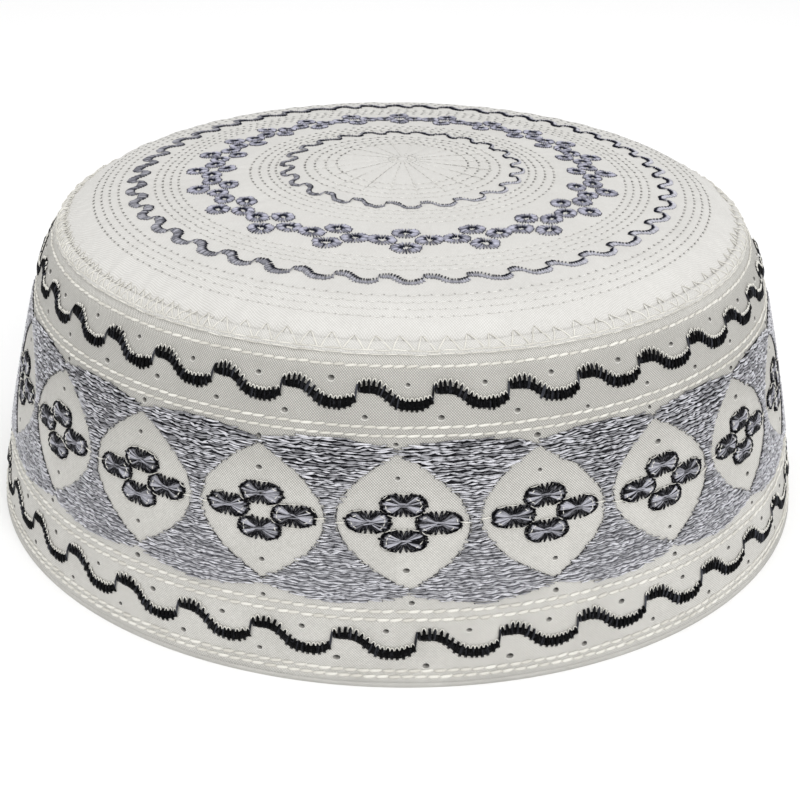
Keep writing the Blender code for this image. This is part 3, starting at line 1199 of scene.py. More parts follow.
@dataclass
class CrownCloth:
    """The round top panel, quilted by its stitched rings and drawn in at the middle."""

    shape: CapShape
    edge: float = 0.06565
    cloth: float = 0.0016
    turns: int = 640
    cut: float = 0.1532
    halved_at: float = 0.046

    def build(self) -> bpy.types.Object:
        """Returns:
            The crown.
        """
        outer = dense_places(self.edge, self.shape.skin.middle - 0.0008, CROWN_LINES, 0.0012, 0.00065)
        inner = np.linspace(self.edge, self.shape.skin.middle - 0.0012, 26)
        upper = self._face(outer, 0.0, 1.0)
        lower = self._face(inner, -self.cloth, 0.0)
        patches = [self._quilt(upper, False), self._quilt(lower, True), self._rim(upper[0], lower[0])]
        piece = object_of("crown_cloth", patches, [Finish.CROWN_CLOTH])
        self._weld(piece)
        settle(piece, Slot.CLOTH, ["crown_panel"])
        return piece

    def _face(self, places: Array, proud: float, follow: float) -> list[Array]:
        """Rings of points, with half as many in a ring each time the ring's radius falls by half.

        Args:
            places: The rings' places.
            proud: Their distance out from the skin.
            follow: Share of the relief that they follow.

        Returns:
            The points of each ring.
        """
        rings = []
        for place in places:
            radius = self.shape.skin.radius_at(place)
            count = self.turns
            while radius < self.halved_at * count / self.turns and count > 20:
                count //= 2
            angle = np.arange(count) * tau / count
            rings.append(self.shape.points(angle, np.full(count, place), np.full(count, proud), follow))
        return rings

    def _quilt(self, rings: list[Array], flip: bool) -> Patch:
        """Faces between the rings and over the middle.

        Args:
            rings: The points of each ring, from the edge in.
            flip: Whether the faces look down.

        Returns:
            The face of the cloth.
        """
        offsets = np.cumsum([0] + [len(ring) for ring in rings])
        faces = []
        for here, there, base, beyond in zip(rings, rings[1:], offsets, offsets[1:]):
            count, inside = len(here), len(there)
            if count == inside:
                a = np.arange(count)
                b = (a + 1) % count
                faces.append(np.stack([base + a, base + b, beyond + b, beyond + a], -1))
            else:
                a = np.arange(inside)
                b = (a + 1) % inside
                faces.append(np.stack([base + 2 * a, base + 2 * a + 1, base + (2 * a + 2) % count,
                                       beyond + b, beyond + a], -1))
        last, base = len(rings[-1]), offsets[-2]
        a = np.arange(last)
        faces.append(np.stack([base + a, base + (a + 1) % last, np.full(last, offsets[-1])], -1))
        middle = rings[-1].mean(axis=0, keepdims=True)
        points = np.concatenate([*rings, middle])
        if flip:
            faces = [group[:, ::-1] for group in faces]
        maps = [points[group][:, :, :2] / MM for group in faces]
        flat = np.full(len(points), 0.5)
        return Patch(points, faces, maps, flat, flat)

    def _rim(self, upper: Array, lower: Array) -> Patch:
        """The cut edge between the two faces.

        Args:
            upper: The outer face's first ring.
            lower: The inner face's first ring.

        Returns:
            The edge.
        """
        count = len(upper)
        points = np.concatenate([upper, lower])
        a = np.arange(count)
        b = (a + 1) % count
        faces = np.stack([count + a, count + b, b, a], -1)
        flat = np.full(len(points), 0.5)
        return Patch(points, [faces], [points[faces][:, :, :2] / MM], flat, flat)

    @staticmethod
    def _weld(piece: bpy.types.Object) -> None:
        """Joins points that lie on each other.

        Args:
            piece: The crown.
        """
        maker = bmesh.new()
        maker.from_mesh(piece.data)
        bmesh.ops.remove_doubles(maker, verts=maker.verts, dist=0.000001)
        bmesh.ops.recalc_face_normals(maker, faces=maker.faces)
        maker.to_mesh(piece.data)
        maker.free()


# satin scallops


@dataclass(frozen=True)
class SatinTurn:
    """A point of one scallop: share of the repeat, share of the swing, share of the satin's full length."""

    along: float
    up: float
    length: float


SATIN = (
    SatinTurn(0.00, 0.80, 0.55),
    SatinTurn(0.07, 0.93, 0.95),
    SatinTurn(0.20, 1.00, 1.06),
    SatinTurn(0.30, 0.77, 1.00),
    SatinTurn(0.36, 0.43, 0.94),
    SatinTurn(0.43, -0.11, 0.94),
    SatinTurn(0.50, -0.60, 0.98),
    SatinTurn(0.58, -0.88, 0.95),
    SatinTurn(0.70, -0.98, 0.95),
    SatinTurn(0.82, -0.97, 0.95),
    SatinTurn(0.90, -0.70, 0.90),
    SatinTurn(0.97, -0.38, 0.66),
    SatinTurn(1.00, -0.30, 0.50),
)


@dataclass
class SatinScallop:
    """A ring of satin scallops: pairs of stitches side by side across a wave that steps up to the next."""

    shape: CapShape
    name: str
    solid: str
    place: float
    repeats: int
    turn: float
    swing: float
    length: float
    fingers: int
    finish: Finish
    slot: Slot
    stretch: float = 0.0
    loops: bool = False
    rise: float = 0.00026
    core: float = 0.27
    core_more: float = 0.11
    sink: float = 0.10
    sink_more: float = 0.12
    core_shade: float = 0.0
    palest: float = 0.15
    gleam: float = 0.45
    # sided narrows the ring towards its right and sets how its painted sheen and painted shade change round
    # the cap.
    sided: float = 0.0
    sides: int = 5
    seed: int = 1

    FOOT_APART = 0.15
    TOP_APART = 0.14
    ARCH_HALF = 0.40
    ARCH_RISE = 0.00021
    ARCH_DROP = 0.00056
    LOOPS_KEPT = 0.86
    CORE_POINTS = 13

    def build(self) -> bpy.types.Object:
        """Builds and rides the ring.

        Returns:
            The ring.
        """
        draw = np.random.default_rng(self.seed)
        share = (np.arange(self.fingers) + 0.5) / self.fingers
        up, size = self._wave(share)
        half = self.length / 2.0 * size
        slope = np.gradient(up * self.swing, share * self.pitch_length)
        tilt = -0.6 * np.arctan(slope)
        step = self.pitch_length / self.fingers
        starts, ends, tops = [], [], []
        for repeat in range(self.repeats):
            jog = draw.normal(0.0, 0.00007, (3, self.fingers))
            tall = half * (1.0 + draw.normal(0.0, 0.045, self.fingers)) * self._trim(repeat, share)
            for side in (-1.0, 1.0):
                foot, top = side * self.FOOT_APART * step + jog[0], side * self.TOP_APART * step + jog[1]
                starts.append(self._spot(repeat, share, up, tilt, foot, -tall))
                ends.append(self._spot(repeat, share, up, tilt, top, tall))
            crest = tall + self.ARCH_RISE
            tops.append([self._spot(repeat, share, up, tilt, jog[1] + self.ARCH_HALF * step * t,
                                    crest - self.ARCH_DROP * abs(t) ** 2.6)
                         for t in np.linspace(-1.0, 1.0, 7)])
        bow = Bow(width=0.20 * step, height=0.00019, foot=0.00008, rise=self.rise, taper=0.5)
        shade = draw.uniform(self.palest - 0.6, self.palest, len(starts) * self.fingers)
        # Painted sheen: stitches on the wave's falling slopes are lightened at random towards the thread's
        # light colour.
        falling = np.tile(np.clip(-2.0 * slope, 0.0, 1.0), len(starts))
        shade += self.gleam * falling * draw.random(len(shade))
        # Painted sheen: the stitches are lighter towards the cap's right and darker towards its left.
        shade += self.sided * np.sin(merged(starts)[0])
        stitches = spun(self.shape, bowed(merged(starts), merged(ends), bow, shade), self.sides)
        # Painted shade: the dark band at the stitches' inner ends is widest in front and narrowest at the
        # left.
        if self.sided:
            left = stitches.points[:, 0] / np.hypot(*stitches.points[:, :2].T)
            stitches.along *= 1.25 + 0.55 * np.minimum(left, 0.0) - 0.15 * np.maximum(left, 0.0)
        core = spun(self.shape, self._core(), 4)
        core.along[:] = 0.5
        patches = [stitches, spun(self.shape, self._links(draw), self.sides), core]
        finishes = [self.finish]
        if self.loops:
            patches.append(spun(self.shape, self._loops(draw, tops), 3, finish=1))
            finishes.append(Finish.PALE_THREAD)
        return settle(object_of(self.name, patches, finishes), self.slot, [self.solid])

    def _trim(self, repeat: int, share: Array) -> Array:
        """How much of their length the stitches keep: a sided ring narrows toward its right."""
        angle = self.turn + tau * (repeat + share) / self.repeats
        return 1.0 - self.sided * np.maximum(0.0, np.sin(angle))

    @property
    def pitch_length(self) -> float:
        """Length of one repeat along the ring."""
        return tau * self.shape.skin.radius_at(self.place) / self.repeats

    def _wave(self, share: Array) -> tuple[Array, Array]:
        """The wave's rise and the satin's relative length at shares of a repeat."""
        along = np.array([turn.along for turn in SATIN])
        return tuple(np.interp(share, along, [getattr(turn, key) for turn in SATIN])
                     for key in ("up", "length"))

    def _spot(self, repeat: int, share: Array, up: Array, tilt: Array, across: Array,
              rise: Array) -> tuple[Array, Array]:
        """A spot beside the wave.

        Args:
            repeat: The repeat's number.
            share: Share of the repeat.
            up: The wave's rise there.
            tilt: Lean of the stitches there.
            across: Distance beside the stitch's middle line.
            rise: Distance along it.

        Returns:
            Its angle and place.
        """
        even = tau * (repeat + share) / self.repeats
        radius = self.shape.skin.radius_at(self.place)
        angle = self.turn + even + self.stretch * np.sin(even)
        side = across * np.cos(tilt) + rise * np.sin(tilt)
        place = self.place + self.swing * up + rise * np.cos(tilt) - across * np.sin(tilt)
        return angle + side / radius, place

    def _links(self, draw: np.random.Generator) -> Strands:
        """The two steep stitches that climb from each scallop's end to the next one's start.

        Args:
            draw: The ring's random numbers.

        Returns:
            The stitches.
        """
        up, size = self._wave(np.array([0.02, 0.985]))
        high, low = self.length / 2.0 * size
        still = np.array([0.0])
        starts, ends = [], []
        for repeat in range(self.repeats):
            foot = self._spot(repeat, np.array([0.975]), up[1], 0.0, still, -low)
            crest = self._spot(repeat, np.array([1.005]), up[0], 0.0, still, high)
            after = self._spot(repeat, np.array([1.045]), up[0], 0.0, still, -high)
            starts += [foot, after]
            ends += [crest, crest]
        width = 0.25 * self.pitch_length / self.fingers
        bow = Bow(width=width, height=0.00016, foot=0.00006, rise=0.00026, taper=0.3)
        return bowed(merged(starts), merged(ends), bow, draw.uniform(0.1, 0.6, len(starts)))

    def _core(self) -> Strands:
        """The dense middle of each scallop, where neighbouring stitches meet.

        Returns:
            One broad flat strand a scallop.
        """
        share = np.linspace(0.03, 0.97, self.CORE_POINTS)
        up, size = self._wave(share)
        pull = -self.length * (self.sink + self.sink_more * up)
        still = np.zeros(self.CORE_POINTS)
        spots = [self._spot(repeat, share, up, still, still, pull) for repeat in range(self.repeats)]
        angle, place = (np.stack([spot[axis] for spot in spots]) for axis in (0, 1))
        whole = np.ones(angle.shape)
        width = (self.core - self.core_more * np.minimum(up, 0.0)) * self.length * size * whole
        # Painted sheen: the core is lighter towards the cap's right and darker towards its left.
        shade = self.core_shade + self.sided * np.sin(angle[:, self.CORE_POINTS // 2])
        return Strands(angle, place, 0.00006 * whole, width, 0.00014 * whole, shade)

    def _loops(self, draw: np.random.Generator, tops: list[list[tuple[Array, Array]]]) -> Strands:
        """The pale under thread that shows round the top of most pairs of stitches.

        Args:
            draw: The ring's random numbers.
            tops: For each repeat, the spots of an arch over every pair.

        Returns:
            The loops.
        """
        angle, place = (np.concatenate([np.stack([spot[axis] for spot in arch], axis=1) for arch in tops])
                        for axis in (0, 1))
        keep = draw.random(len(angle)) < self.LOOPS_KEPT
        angle, place = angle[keep], place[keep]
        whole = np.ones(angle.shape)
        return Strands(angle, place, 0.00032 * whole, 0.00014 * whole, 0.00012 * whole, np.ones(len(angle)))


# filled field


@dataclass
class Medallions:
    """Where the medallions lie and how their outlines run."""

    count: int = 20
    width_share: float = 0.925
    turn: float = 0.013
    lean: float = 0.028
    foot: float = 0.0197
    tip: float = 0.0457
    field_foot_low: float = 0.0166
    field_foot_high: float = 0.0192
    field_top_low: float = 0.0462
    field_top_high: float = 0.0484

    @property
    def middle(self) -> float:
        """Place of the medallions' waists."""
        return (self.foot + self.tip) / 2.0

    @property
    def half(self) -> float:
        """Half a medallion's height."""
        return (self.tip - self.foot) / 2.0

    @property
    def pitch(self) -> float:
        """Angle from one medallion to the next."""
        return tau / self.count

    def leaned(self, place: Array) -> Array:
        """How far a medallion leans from its middle at a place."""
        return self.lean * (self.middle - place) / (2.0 * self.half)

    def edge(self, place: Array) -> Array:
        """Half the angle that the field leaves open about a medallion's middle at a place.

        Args:
            place: Places along the skin.

        Returns:
            Angles, half a pitch where no field is left.
        """
        inside = np.clip(1.0 - ((place - self.middle) / self.half) ** 2, 0.0, 1.0)
        opening = self.width_share / 2.0 * inside
        top = (place - self.field_top_low) / (self.field_top_high - self.field_top_low)
        foot = (self.field_foot_high - place) / (self.field_foot_high - self.field_foot_low)
        above, below = (np.clip(part, 0, 1) ** 2 / 2.0 for part in (top, foot))
        return self.pitch * np.maximum(opening, np.maximum(above, below))


@dataclass
class FilledField:
    """The grey filled embroidery between the medallions: a dark ground under rows of short stitches."""

    shape: CapShape
    medallions: Medallions
    row_pitch: float = 0.00039
    stitch: float = 0.0019
    overlap: float = 0.00018
    edge_gap: float = 0.0002
    ground_inset: float = 0.00035
    ground_sunk: float = 0.0002
    ground_edge: float = 0.00012
    ground_rise: float = 0.00018
    map_radius_mm: float = 84.0
    seed: int = 21

    def build(self) -> list[bpy.types.Object]:
        """Builds and rides the ground and the rows.

        Returns:
            The ground and the two halves of the rows.
        """
        ground = object_of("field_ground", [self._ground()], [Finish.FIELD_GROUND])
        settle(ground, Slot.GREY, ["medallion_field"])
        pieces = [ground]
        m = self.medallions
        low, middle, high = m.field_foot_low + self.edge_gap, m.middle, m.field_top_high - self.edge_gap
        for name, start, stop, seed in (("field_rows_lower", low, middle, self.seed),
                                        ("field_rows_upper", middle, high, self.seed + 1)):
            rows = self._rows(start, stop, np.random.default_rng(seed))
            piece = object_of(name, [spun(self.shape, rows, 3)], [Finish.FIELD_THREAD])
            pieces.append(settle(piece, Slot.GREY))
        return pieces

    def _rows(self, low: float, high: float, draw: np.random.Generator) -> Strands:
        """Rows of short stitches between two places.

        Args:
            low: The lowest row's place.
            high: The highest row's place.
            draw: The rows' random numbers.

        Returns:
            The stitches.
        """
        m = self.medallions
        starts, ends, shades = [], [], []
        for place in np.arange(low, high, self.row_pitch):
            radius = self.shape.skin.radius_at(place)
            open_angle, lean = float(m.edge(place)), float(m.leaned(place))
            up = (place - m.field_foot_low) / (m.field_top_high - m.field_foot_low)
            middle, spread = 0.62 - 0.05 * up, 0.26 + 0.14 * up
            for lobe in range(m.count):
                ragged = draw.normal(0.0, 0.00022, 2) / radius
                left = m.turn + lobe * m.pitch + open_angle + lean + ragged[0]
                right = m.turn + (lobe + 1) * m.pitch - open_angle + lean + ragged[1]
                cuts = max(1, round((right - left) * radius / self.stitch + draw.normal(0.0, 0.5)))
                lengths = np.cumsum(draw.uniform(0.35, 1.65, cuts))
                angle = left + (right - left) * np.concatenate([[0.0], lengths / lengths[-1]])
                sway = 0.00018 * np.sin(130.0 * angle + 900.0 * place)
                height = place + draw.normal(0.0, 0.00011, cuts + 1) + sway
                slip = draw.normal(0.0, 0.00004, cuts)
                starts.append((angle[:-1] - self.overlap / radius, height[:-1] + slip))
                ends.append((angle[1:] + self.overlap / radius, height[1:] - slip))
                shades.append(middle + spread * draw.uniform(-1.0, 1.0, cuts))
        bow = Bow(width=0.00023, height=0.00019, foot=0.00018, rise=0.00024, taper=0.4, points=3)
        return bowed(merged(starts), merged(ends), bow, np.concatenate(shades))

    def _ground(self) -> Patch:
        """The padded ground, one closed slab in each space between two medallions.

        Returns:
            The slabs.
        """
        m = self.medallions
        rows, columns = 26, 8
        low, high = m.field_foot_low + self.ground_inset, m.field_top_high - self.ground_inset
        places = np.linspace(low, high, rows)
        share = np.linspace(0.0, 1.0, columns)
        faces, points = [], []
        for lobe in range(m.count):
            inset = self.ground_inset / self.shape.skin.at(places)[0]
            left = m.turn + lobe * m.pitch + m.edge(places) + m.leaned(places) + inset
            right = m.turn + (lobe + 1) * m.pitch - m.edge(places) + m.leaned(places) - inset
            angle = left[:, None] + (right - left)[:, None] * share[None, :]
            place = np.repeat(places[:, None], columns, 1)
            edge = np.minimum(1.0, 6.0 * np.minimum(share, 1.0 - share))[None, :]
            upper = self.shape.points(angle, place, self.ground_edge + self.ground_rise * edge)
            lower = self.shape.points(angle, place, np.full(angle.shape, -self.ground_sunk))
            number = lobe * 2 * rows * columns + np.arange(rows * columns).reshape(rows, columns)
            under = number + rows * columns
            faces += [self._grid(number), self._grid(under)[:, ::-1]]
            loop = np.concatenate([number[0, :-1], number[:-1, -1], number[-1, :0:-1], number[:0:-1, 0]])
            after = np.roll(loop, -1)
            faces.append(np.stack([loop + rows * columns, after + rows * columns, after, loop], -1))
            points += [upper.reshape(-1, 3), lower.reshape(-1, 3)]
        whole = np.concatenate(points)
        across = np.arctan2(whole[:, 0], -whole[:, 1]) * self.map_radius_mm
        laid = np.stack([across, whole[:, 2] / MM], -1)
        maps = [laid[group] for group in faces]
        up = (places - m.field_foot_low) / (m.field_top_high - m.field_foot_low)
        shade = np.tile(np.repeat(0.45 - 0.6 * up, columns), 2 * m.count)
        return Patch(whole, faces, maps, shade, np.full(len(whole), 0.5))

    @staticmethod
    def _grid(number: Array) -> Array:
        """The faces of a grid of point numbers."""
        corners = [number[:-1, :-1], number[:-1, 1:], number[1:, 1:], number[1:, :-1]]
        return np.stack(corners, -1).reshape(-1, 4)


@dataclass
class MedallionOutline:
    """Short dark stitches along the medallions' edges, and the pale threads that jump at their waists."""

    shape: CapShape
    medallions: Medallions
    per_side: int = 34
    share: float = 0.62
    inset: float = 0.00006
    overlap: float = 0.00012
    jump_into_field: float = 0.0003
    jump_to_flower: float = 0.0104
    seed: int = 31

    def build(self) -> list[bpy.types.Object]:
        """Builds and rides the outlines and the jumping threads.

        Returns:
            The two pieces.
        """
        draw = np.random.default_rng(self.seed)
        m = self.medallions
        turn = np.linspace(-1.0, 1.0, self.per_side + 1)
        place = m.middle + m.half * np.sin(turn * pi / 2.0)
        inset = self.inset / self.shape.skin.at(place)[0]
        starts, ends = [], []
        for medallion in range(m.count):
            for side in (-1.0, 1.0):
                angle = m.turn + medallion * m.pitch + side * (m.edge(place) - inset) + m.leaned(place)
                starts.append((angle[:-1], place[:-1] + self.overlap))
                ends.append((angle[1:], place[1:] - self.overlap))
        start, end = merged(starts), merged(ends)
        keep = draw.random(len(start[0])) < self.share
        shade = draw.uniform(-0.6, 0.1, int(keep.sum()))
        bow = Bow(width=0.00013, height=0.00012, foot=0.00004, rise=0.00018, points=4)
        dashes = bowed([part[keep] for part in start], [part[keep] for part in end], bow, shade)
        outline = object_of("medallion_outline", [spun(self.shape, dashes, 3)], [Finish.FIELD_THREAD])
        settle(outline, Slot.GREY)
        jumps = object_of("jump_threads", [spun(self.shape, self._jumps(draw))], [Finish.PALE_THREAD])
        return [outline, settle(jumps, Slot.CLOTH)]

    def _jumps(self, draw: np.random.Generator) -> Strands:
        """Pale threads from the field's waist to the flower.

        Args:
            draw: The piece's random numbers.

        Returns:
            The threads.
        """
        m = self.medallions
        radius = self.shape.skin.radius_at(m.middle)
        middle = m.turn + np.arange(m.count) * m.pitch
        reach = m.pitch * m.width_share / 2.0 + self.jump_into_field / radius
        inner = self.jump_to_flower / radius
        bow = Bow(width=0.00015, height=0.00014, foot=0.00014, rise=0.00022)
        parts = []
        for side in (-1.0, 1.0):
            drop = draw.normal(-0.0002, 0.0003, m.count)
            start = (middle + side * reach, m.middle + drop)
            end = (middle + side * inner, m.middle + drop + draw.normal(0.0, 0.0003, m.count))
            parts.append(bowed(start, end, bow, np.full(m.count, 0.8)))
        return Strands.joined(parts)


# flowers


@dataclass(frozen=True)
class Petal:
    """One petal of a flower: its middle and half sizes, along the cap and up the skin."""

    across: float
    up: float
    half_across: float
    half_up: float


@dataclass(frozen=True)
class PetalRim:
    """Short stitches that run round a petal.

    Reach is how far out they lie and ends is between which sideways distances from the petal's middle,
    both in shares of its half size. Share is how many are sewn, and thread is half a stitch's width.
    """

    reach: float
    thread: float
    shade: float
    share: float
    ends: tuple[float, float]
    lift: float = 0.0
    finish: int = 0


PETAL_RIMS = (
    PetalRim(reach=0.98, thread=0.00018, shade=0.0, share=1.0, ends=(0.3, 1.1)),
    PetalRim(reach=1.05, thread=0.00010, shade=0.9, share=0.5, ends=(-0.1, 0.9), lift=0.00012, finish=1),
    PetalRim(reach=0.74, thread=0.00013, shade=1.0, share=0.75, ends=(0.5, 1.1), lift=0.00016, finish=1),
)


@dataclass
class FlowerRing:
    """A ring of four-petal flowers, each petal an oval of satin stitches laid out from its middle."""

    shape: CapShape
    name: str
    place: float
    flowers: int
    turn: float
    petals: tuple[Petal, ...]
    stitches: int
    finish: Finish
    slot: Slot
    stretch: float = 0.0
    second_stretch: float = 0.0
    thread: float = 0.00033
    rise: float = 0.00030
    inner: float = 0.10
    # wedge and darkest: where painted sheen leaves each petal dark about its upright middle, and the
    # darkest its lit stitches go.
    wedge: float = 0.48
    darkest: float = -0.2
    roundness: float = 0.85
    outlined: bool = False
    seed: int = 41

    RIM_STITCHES = 14
    BARS = 3

    def build(self) -> bpy.types.Object:
        """Builds and rides the ring.

        Returns:
            The ring.
        """
        draw = np.random.default_rng(self.seed)
        even = tau * np.arange(self.flowers) / self.flowers
        once, twice = self.stretch, self.second_stretch
        middle = self.turn + even + once * np.sin(even) + twice * np.sin(2.0 * even)
        grow = 1.0 + once * np.cos(even) + 2.0 * twice * np.cos(2.0 * even)
        turn = tau * (np.arange(self.stitches) + 0.5) / self.stitches
        starts, ends, shades, rims = [], [], [], []
        for centre, wide in zip(middle, grow):
            for petal in self.petals:
                reach = 1.0 + draw.normal(0.0, 0.035, self.stitches) + 0.03 * (np.arange(self.stitches) % 2)
                core = self.inner * (1.0 + draw.normal(0.0, 0.2, self.stitches))
                bend = turn + draw.normal(0.0, 0.06, self.stitches)
                inner = (1.3 * core * np.cos(bend), core * np.sin(bend))
                outer = (reach * self._squared(np.cos(turn)), reach * self._squared(np.sin(turn)))
                starts.append(self._spot(centre, wide, petal, *inner))
                ends.append(self._spot(centre, wide, petal, *outer))
                rims.append((centre, wide, petal))
                # Painted sheen: stitches that run sideways are lit, and those that run up and down are
                # darkened into the wedges.
                sideways = np.clip((np.abs(np.cos(turn)) - self.wedge) / 0.25, 0.0, 1.0)
                shades.append(sideways * draw.uniform(self.darkest, 1.25, self.stitches))
        bow = Bow(width=self.thread, height=0.00018, foot=0.00008, rise=self.rise, taper=0.3, points=4)
        patches = [spun(self.shape, bowed(merged(starts), merged(ends), bow, np.concatenate(shades)), 3)]
        finishes = [self.finish]
        if self.outlined:
            patches += [spun(self.shape, self._rim(draw, rims, rim), 3, rim.finish) for rim in PETAL_RIMS]
            bars = spun(self.shape, self._bars(draw, rims), 3)
            bars.along[:] = 0.4
            patches.append(bars)
            finishes.append(Finish.PALE_THREAD)
        return settle(object_of(self.name, patches, finishes), self.slot)

    def _spot(self, centre: float, wide: float, petal: Petal, across: Array,
              up: Array) -> tuple[Array, Array]:
        """Angle and place of a spot of a petal.

        Args:
            centre: Angle of the flower's middle.
            wide: Stretch of the pattern there.
            petal: The petal.
            across: How far along the cap, in shares of the petal's half size.
            up: How far up the skin, in shares of its half size.

        Returns:
            The angle and the place.
        """
        place = self.place + petal.up + petal.half_up * up
        radius = self.shape.skin.at(place)[0]
        return centre + (petal.across + petal.half_across * across) * wide / radius, place

    def _squared(self, part: Array) -> Array:
        """Draws an ellipse's coordinate towards that of a rounded box."""
        return np.sign(part) * np.abs(part) ** self.roundness

    def _bars(self, draw: np.random.Generator, rims: list[tuple[float, float, Petal]]) -> Strands:
        """Pale stitches across each petal's middle, from one lobe into the other.

        Args:
            draw: The ring's random numbers.
            rims: Each petal with its flower's angle and local stretch.

        Returns:
            The stitches.
        """
        starts, ends = [], []
        for centre, wide, petal in rims:
            reach = draw.uniform(0.15, 0.42, (2, self.BARS))
            rise = np.array([-0.14, 0.0, 0.14]) + draw.normal(0.0, 0.08, (2, self.BARS))
            starts.append(self._spot(centre, wide, petal, -reach[0], rise[0]))
            ends.append(self._spot(centre, wide, petal, reach[1], rise[1]))
        start = merged(starts)
        bow = Bow(width=0.00018, height=0.00014, foot=self.rise, rise=0.00012, taper=0.6, points=4)
        return bowed(start, merged(ends), bow, draw.uniform(0.2, 1.0, len(start[0])))

    def _rim(self, draw: np.random.Generator, rims: list[tuple[float, float, Petal]],
             rim: PetalRim) -> Strands:
        """One round of short stitches on every petal.

        Args:
            draw: The ring's random numbers.
            rims: Each petal with its flower's angle and local stretch.
            rim: How the stitches run.

        Returns:
            The stitches.
        """
        count = self.RIM_STITCHES
        turn = tau * np.arange(count + 1) / count
        sideways = np.abs(np.cos(turn[:-1] + pi / count))
        within = (sideways > rim.ends[0]) & (sideways < rim.ends[1])
        starts, ends = [], []
        for centre, wide, petal in rims:
            wobble = rim.reach + draw.normal(0.0, 0.03, count + 1)
            across, up = (wobble * self._squared(part) for part in (np.cos(turn), np.sin(turn)))
            angle, place = self._spot(centre, wide, petal, across, up)
            keep = (draw.random(count) < rim.share) & within
            starts.append((angle[:-1][keep], place[:-1][keep]))
            ends.append((angle[1:][keep], place[1:][keep]))
        start = merged(starts)
        bow = Bow(width=rim.thread, height=rim.thread, foot=0.00008 + rim.lift, rise=0.00026, taper=0.3,
                  points=4)
        return bowed(start, merged(ends), bow, np.full(len(start[0]), rim.shade))


BAND_PETALS = (
    Petal(-0.0064, 0.0001, 0.0043, 0.0022),
    Petal(0.0065, -0.0001, 0.0044, 0.0022),
    Petal(0.0, 0.0034, 0.0043, 0.0022),
    Petal(0.0001, -0.0034, 0.0044, 0.0022),
)


CROWN_PETALS = (
    Petal(-0.0038, 0.0, 0.0024, 0.0022),
    Petal(0.0038, 0.0, 0.0024, 0.0022),
    Petal(0.0, 0.0032, 0.0023, 0.0021),
    Petal(0.0, -0.0034, 0.0025, 0.0025),
)


# running stitches


@dataclass
class RunningStitches:
    """Rings of running stitches, fatter near the rim, with the needle's holes drawn to about half their
    size and with less painted shade in front.
    """

    shape: CapShape
    name: str
    lines: tuple[StitchLine, ...]
    share: float
    bow: Bow
    hole: float
    seed: int
    finish: Finish = Finish.PALE_THREAD

    FAT_BELOW = 0.02
    FATTER = 1.25
    SHUT_AND_LIT_IN_FRONT = 0.65

    def build(self) -> bpy.types.Object:
        """Builds and rides the stitches.

        Returns:
            The stitches.
        """
        draw = np.random.default_rng(self.seed)
        starts, ends, holes = [], [], []
        for line in self.lines:
            count = line_count(self.shape.skin, line)
            middle = tau * (np.arange(count) + line.turn) / count
            middle = middle + draw.normal(0.0, 0.03, count) * tau / count
            half = self.share / 2.0 * tau / count
            wander = draw.normal(0.0, 0.00004, (2, count))
            starts.append((middle - half, line.place - line.slant + wander[0]))
            ends.append((middle + half, line.place + line.slant + wander[1]))
            holes.append((middle + 0.5 * tau / count, np.full(count, line.place)))
        start = merged(starts)
        shade = draw.uniform(0.4, 1.0, len(start[0]))
        made = bowed(start, merged(ends), self.bow, shade)
        made.width *= np.where(made.place < self.FAT_BELOW, self.FATTER, 1.0)
        patches = [spun(self.shape, made, 3 if self.hole else 5)]
        finishes = [self.finish]
        if self.hole:
            angle, place = merged(holes)
            # The holes are smaller in front, and their painted shade is lighter there.
            shut_and_lit = self.SHUT_AND_LIT_IN_FRONT * np.maximum(0.0, np.cos(angle)) ** 2
            radius = self.hole * (1.0 - 0.7 * shut_and_lit)
            patches.append(discs(self.shape, angle, place, radius, 1.2, 0.00005, 5, shut_and_lit))
            finishes.append(Finish.NEEDLE_HOLE)
        return settle(object_of(self.name, patches, finishes), Slot.CLOTH)


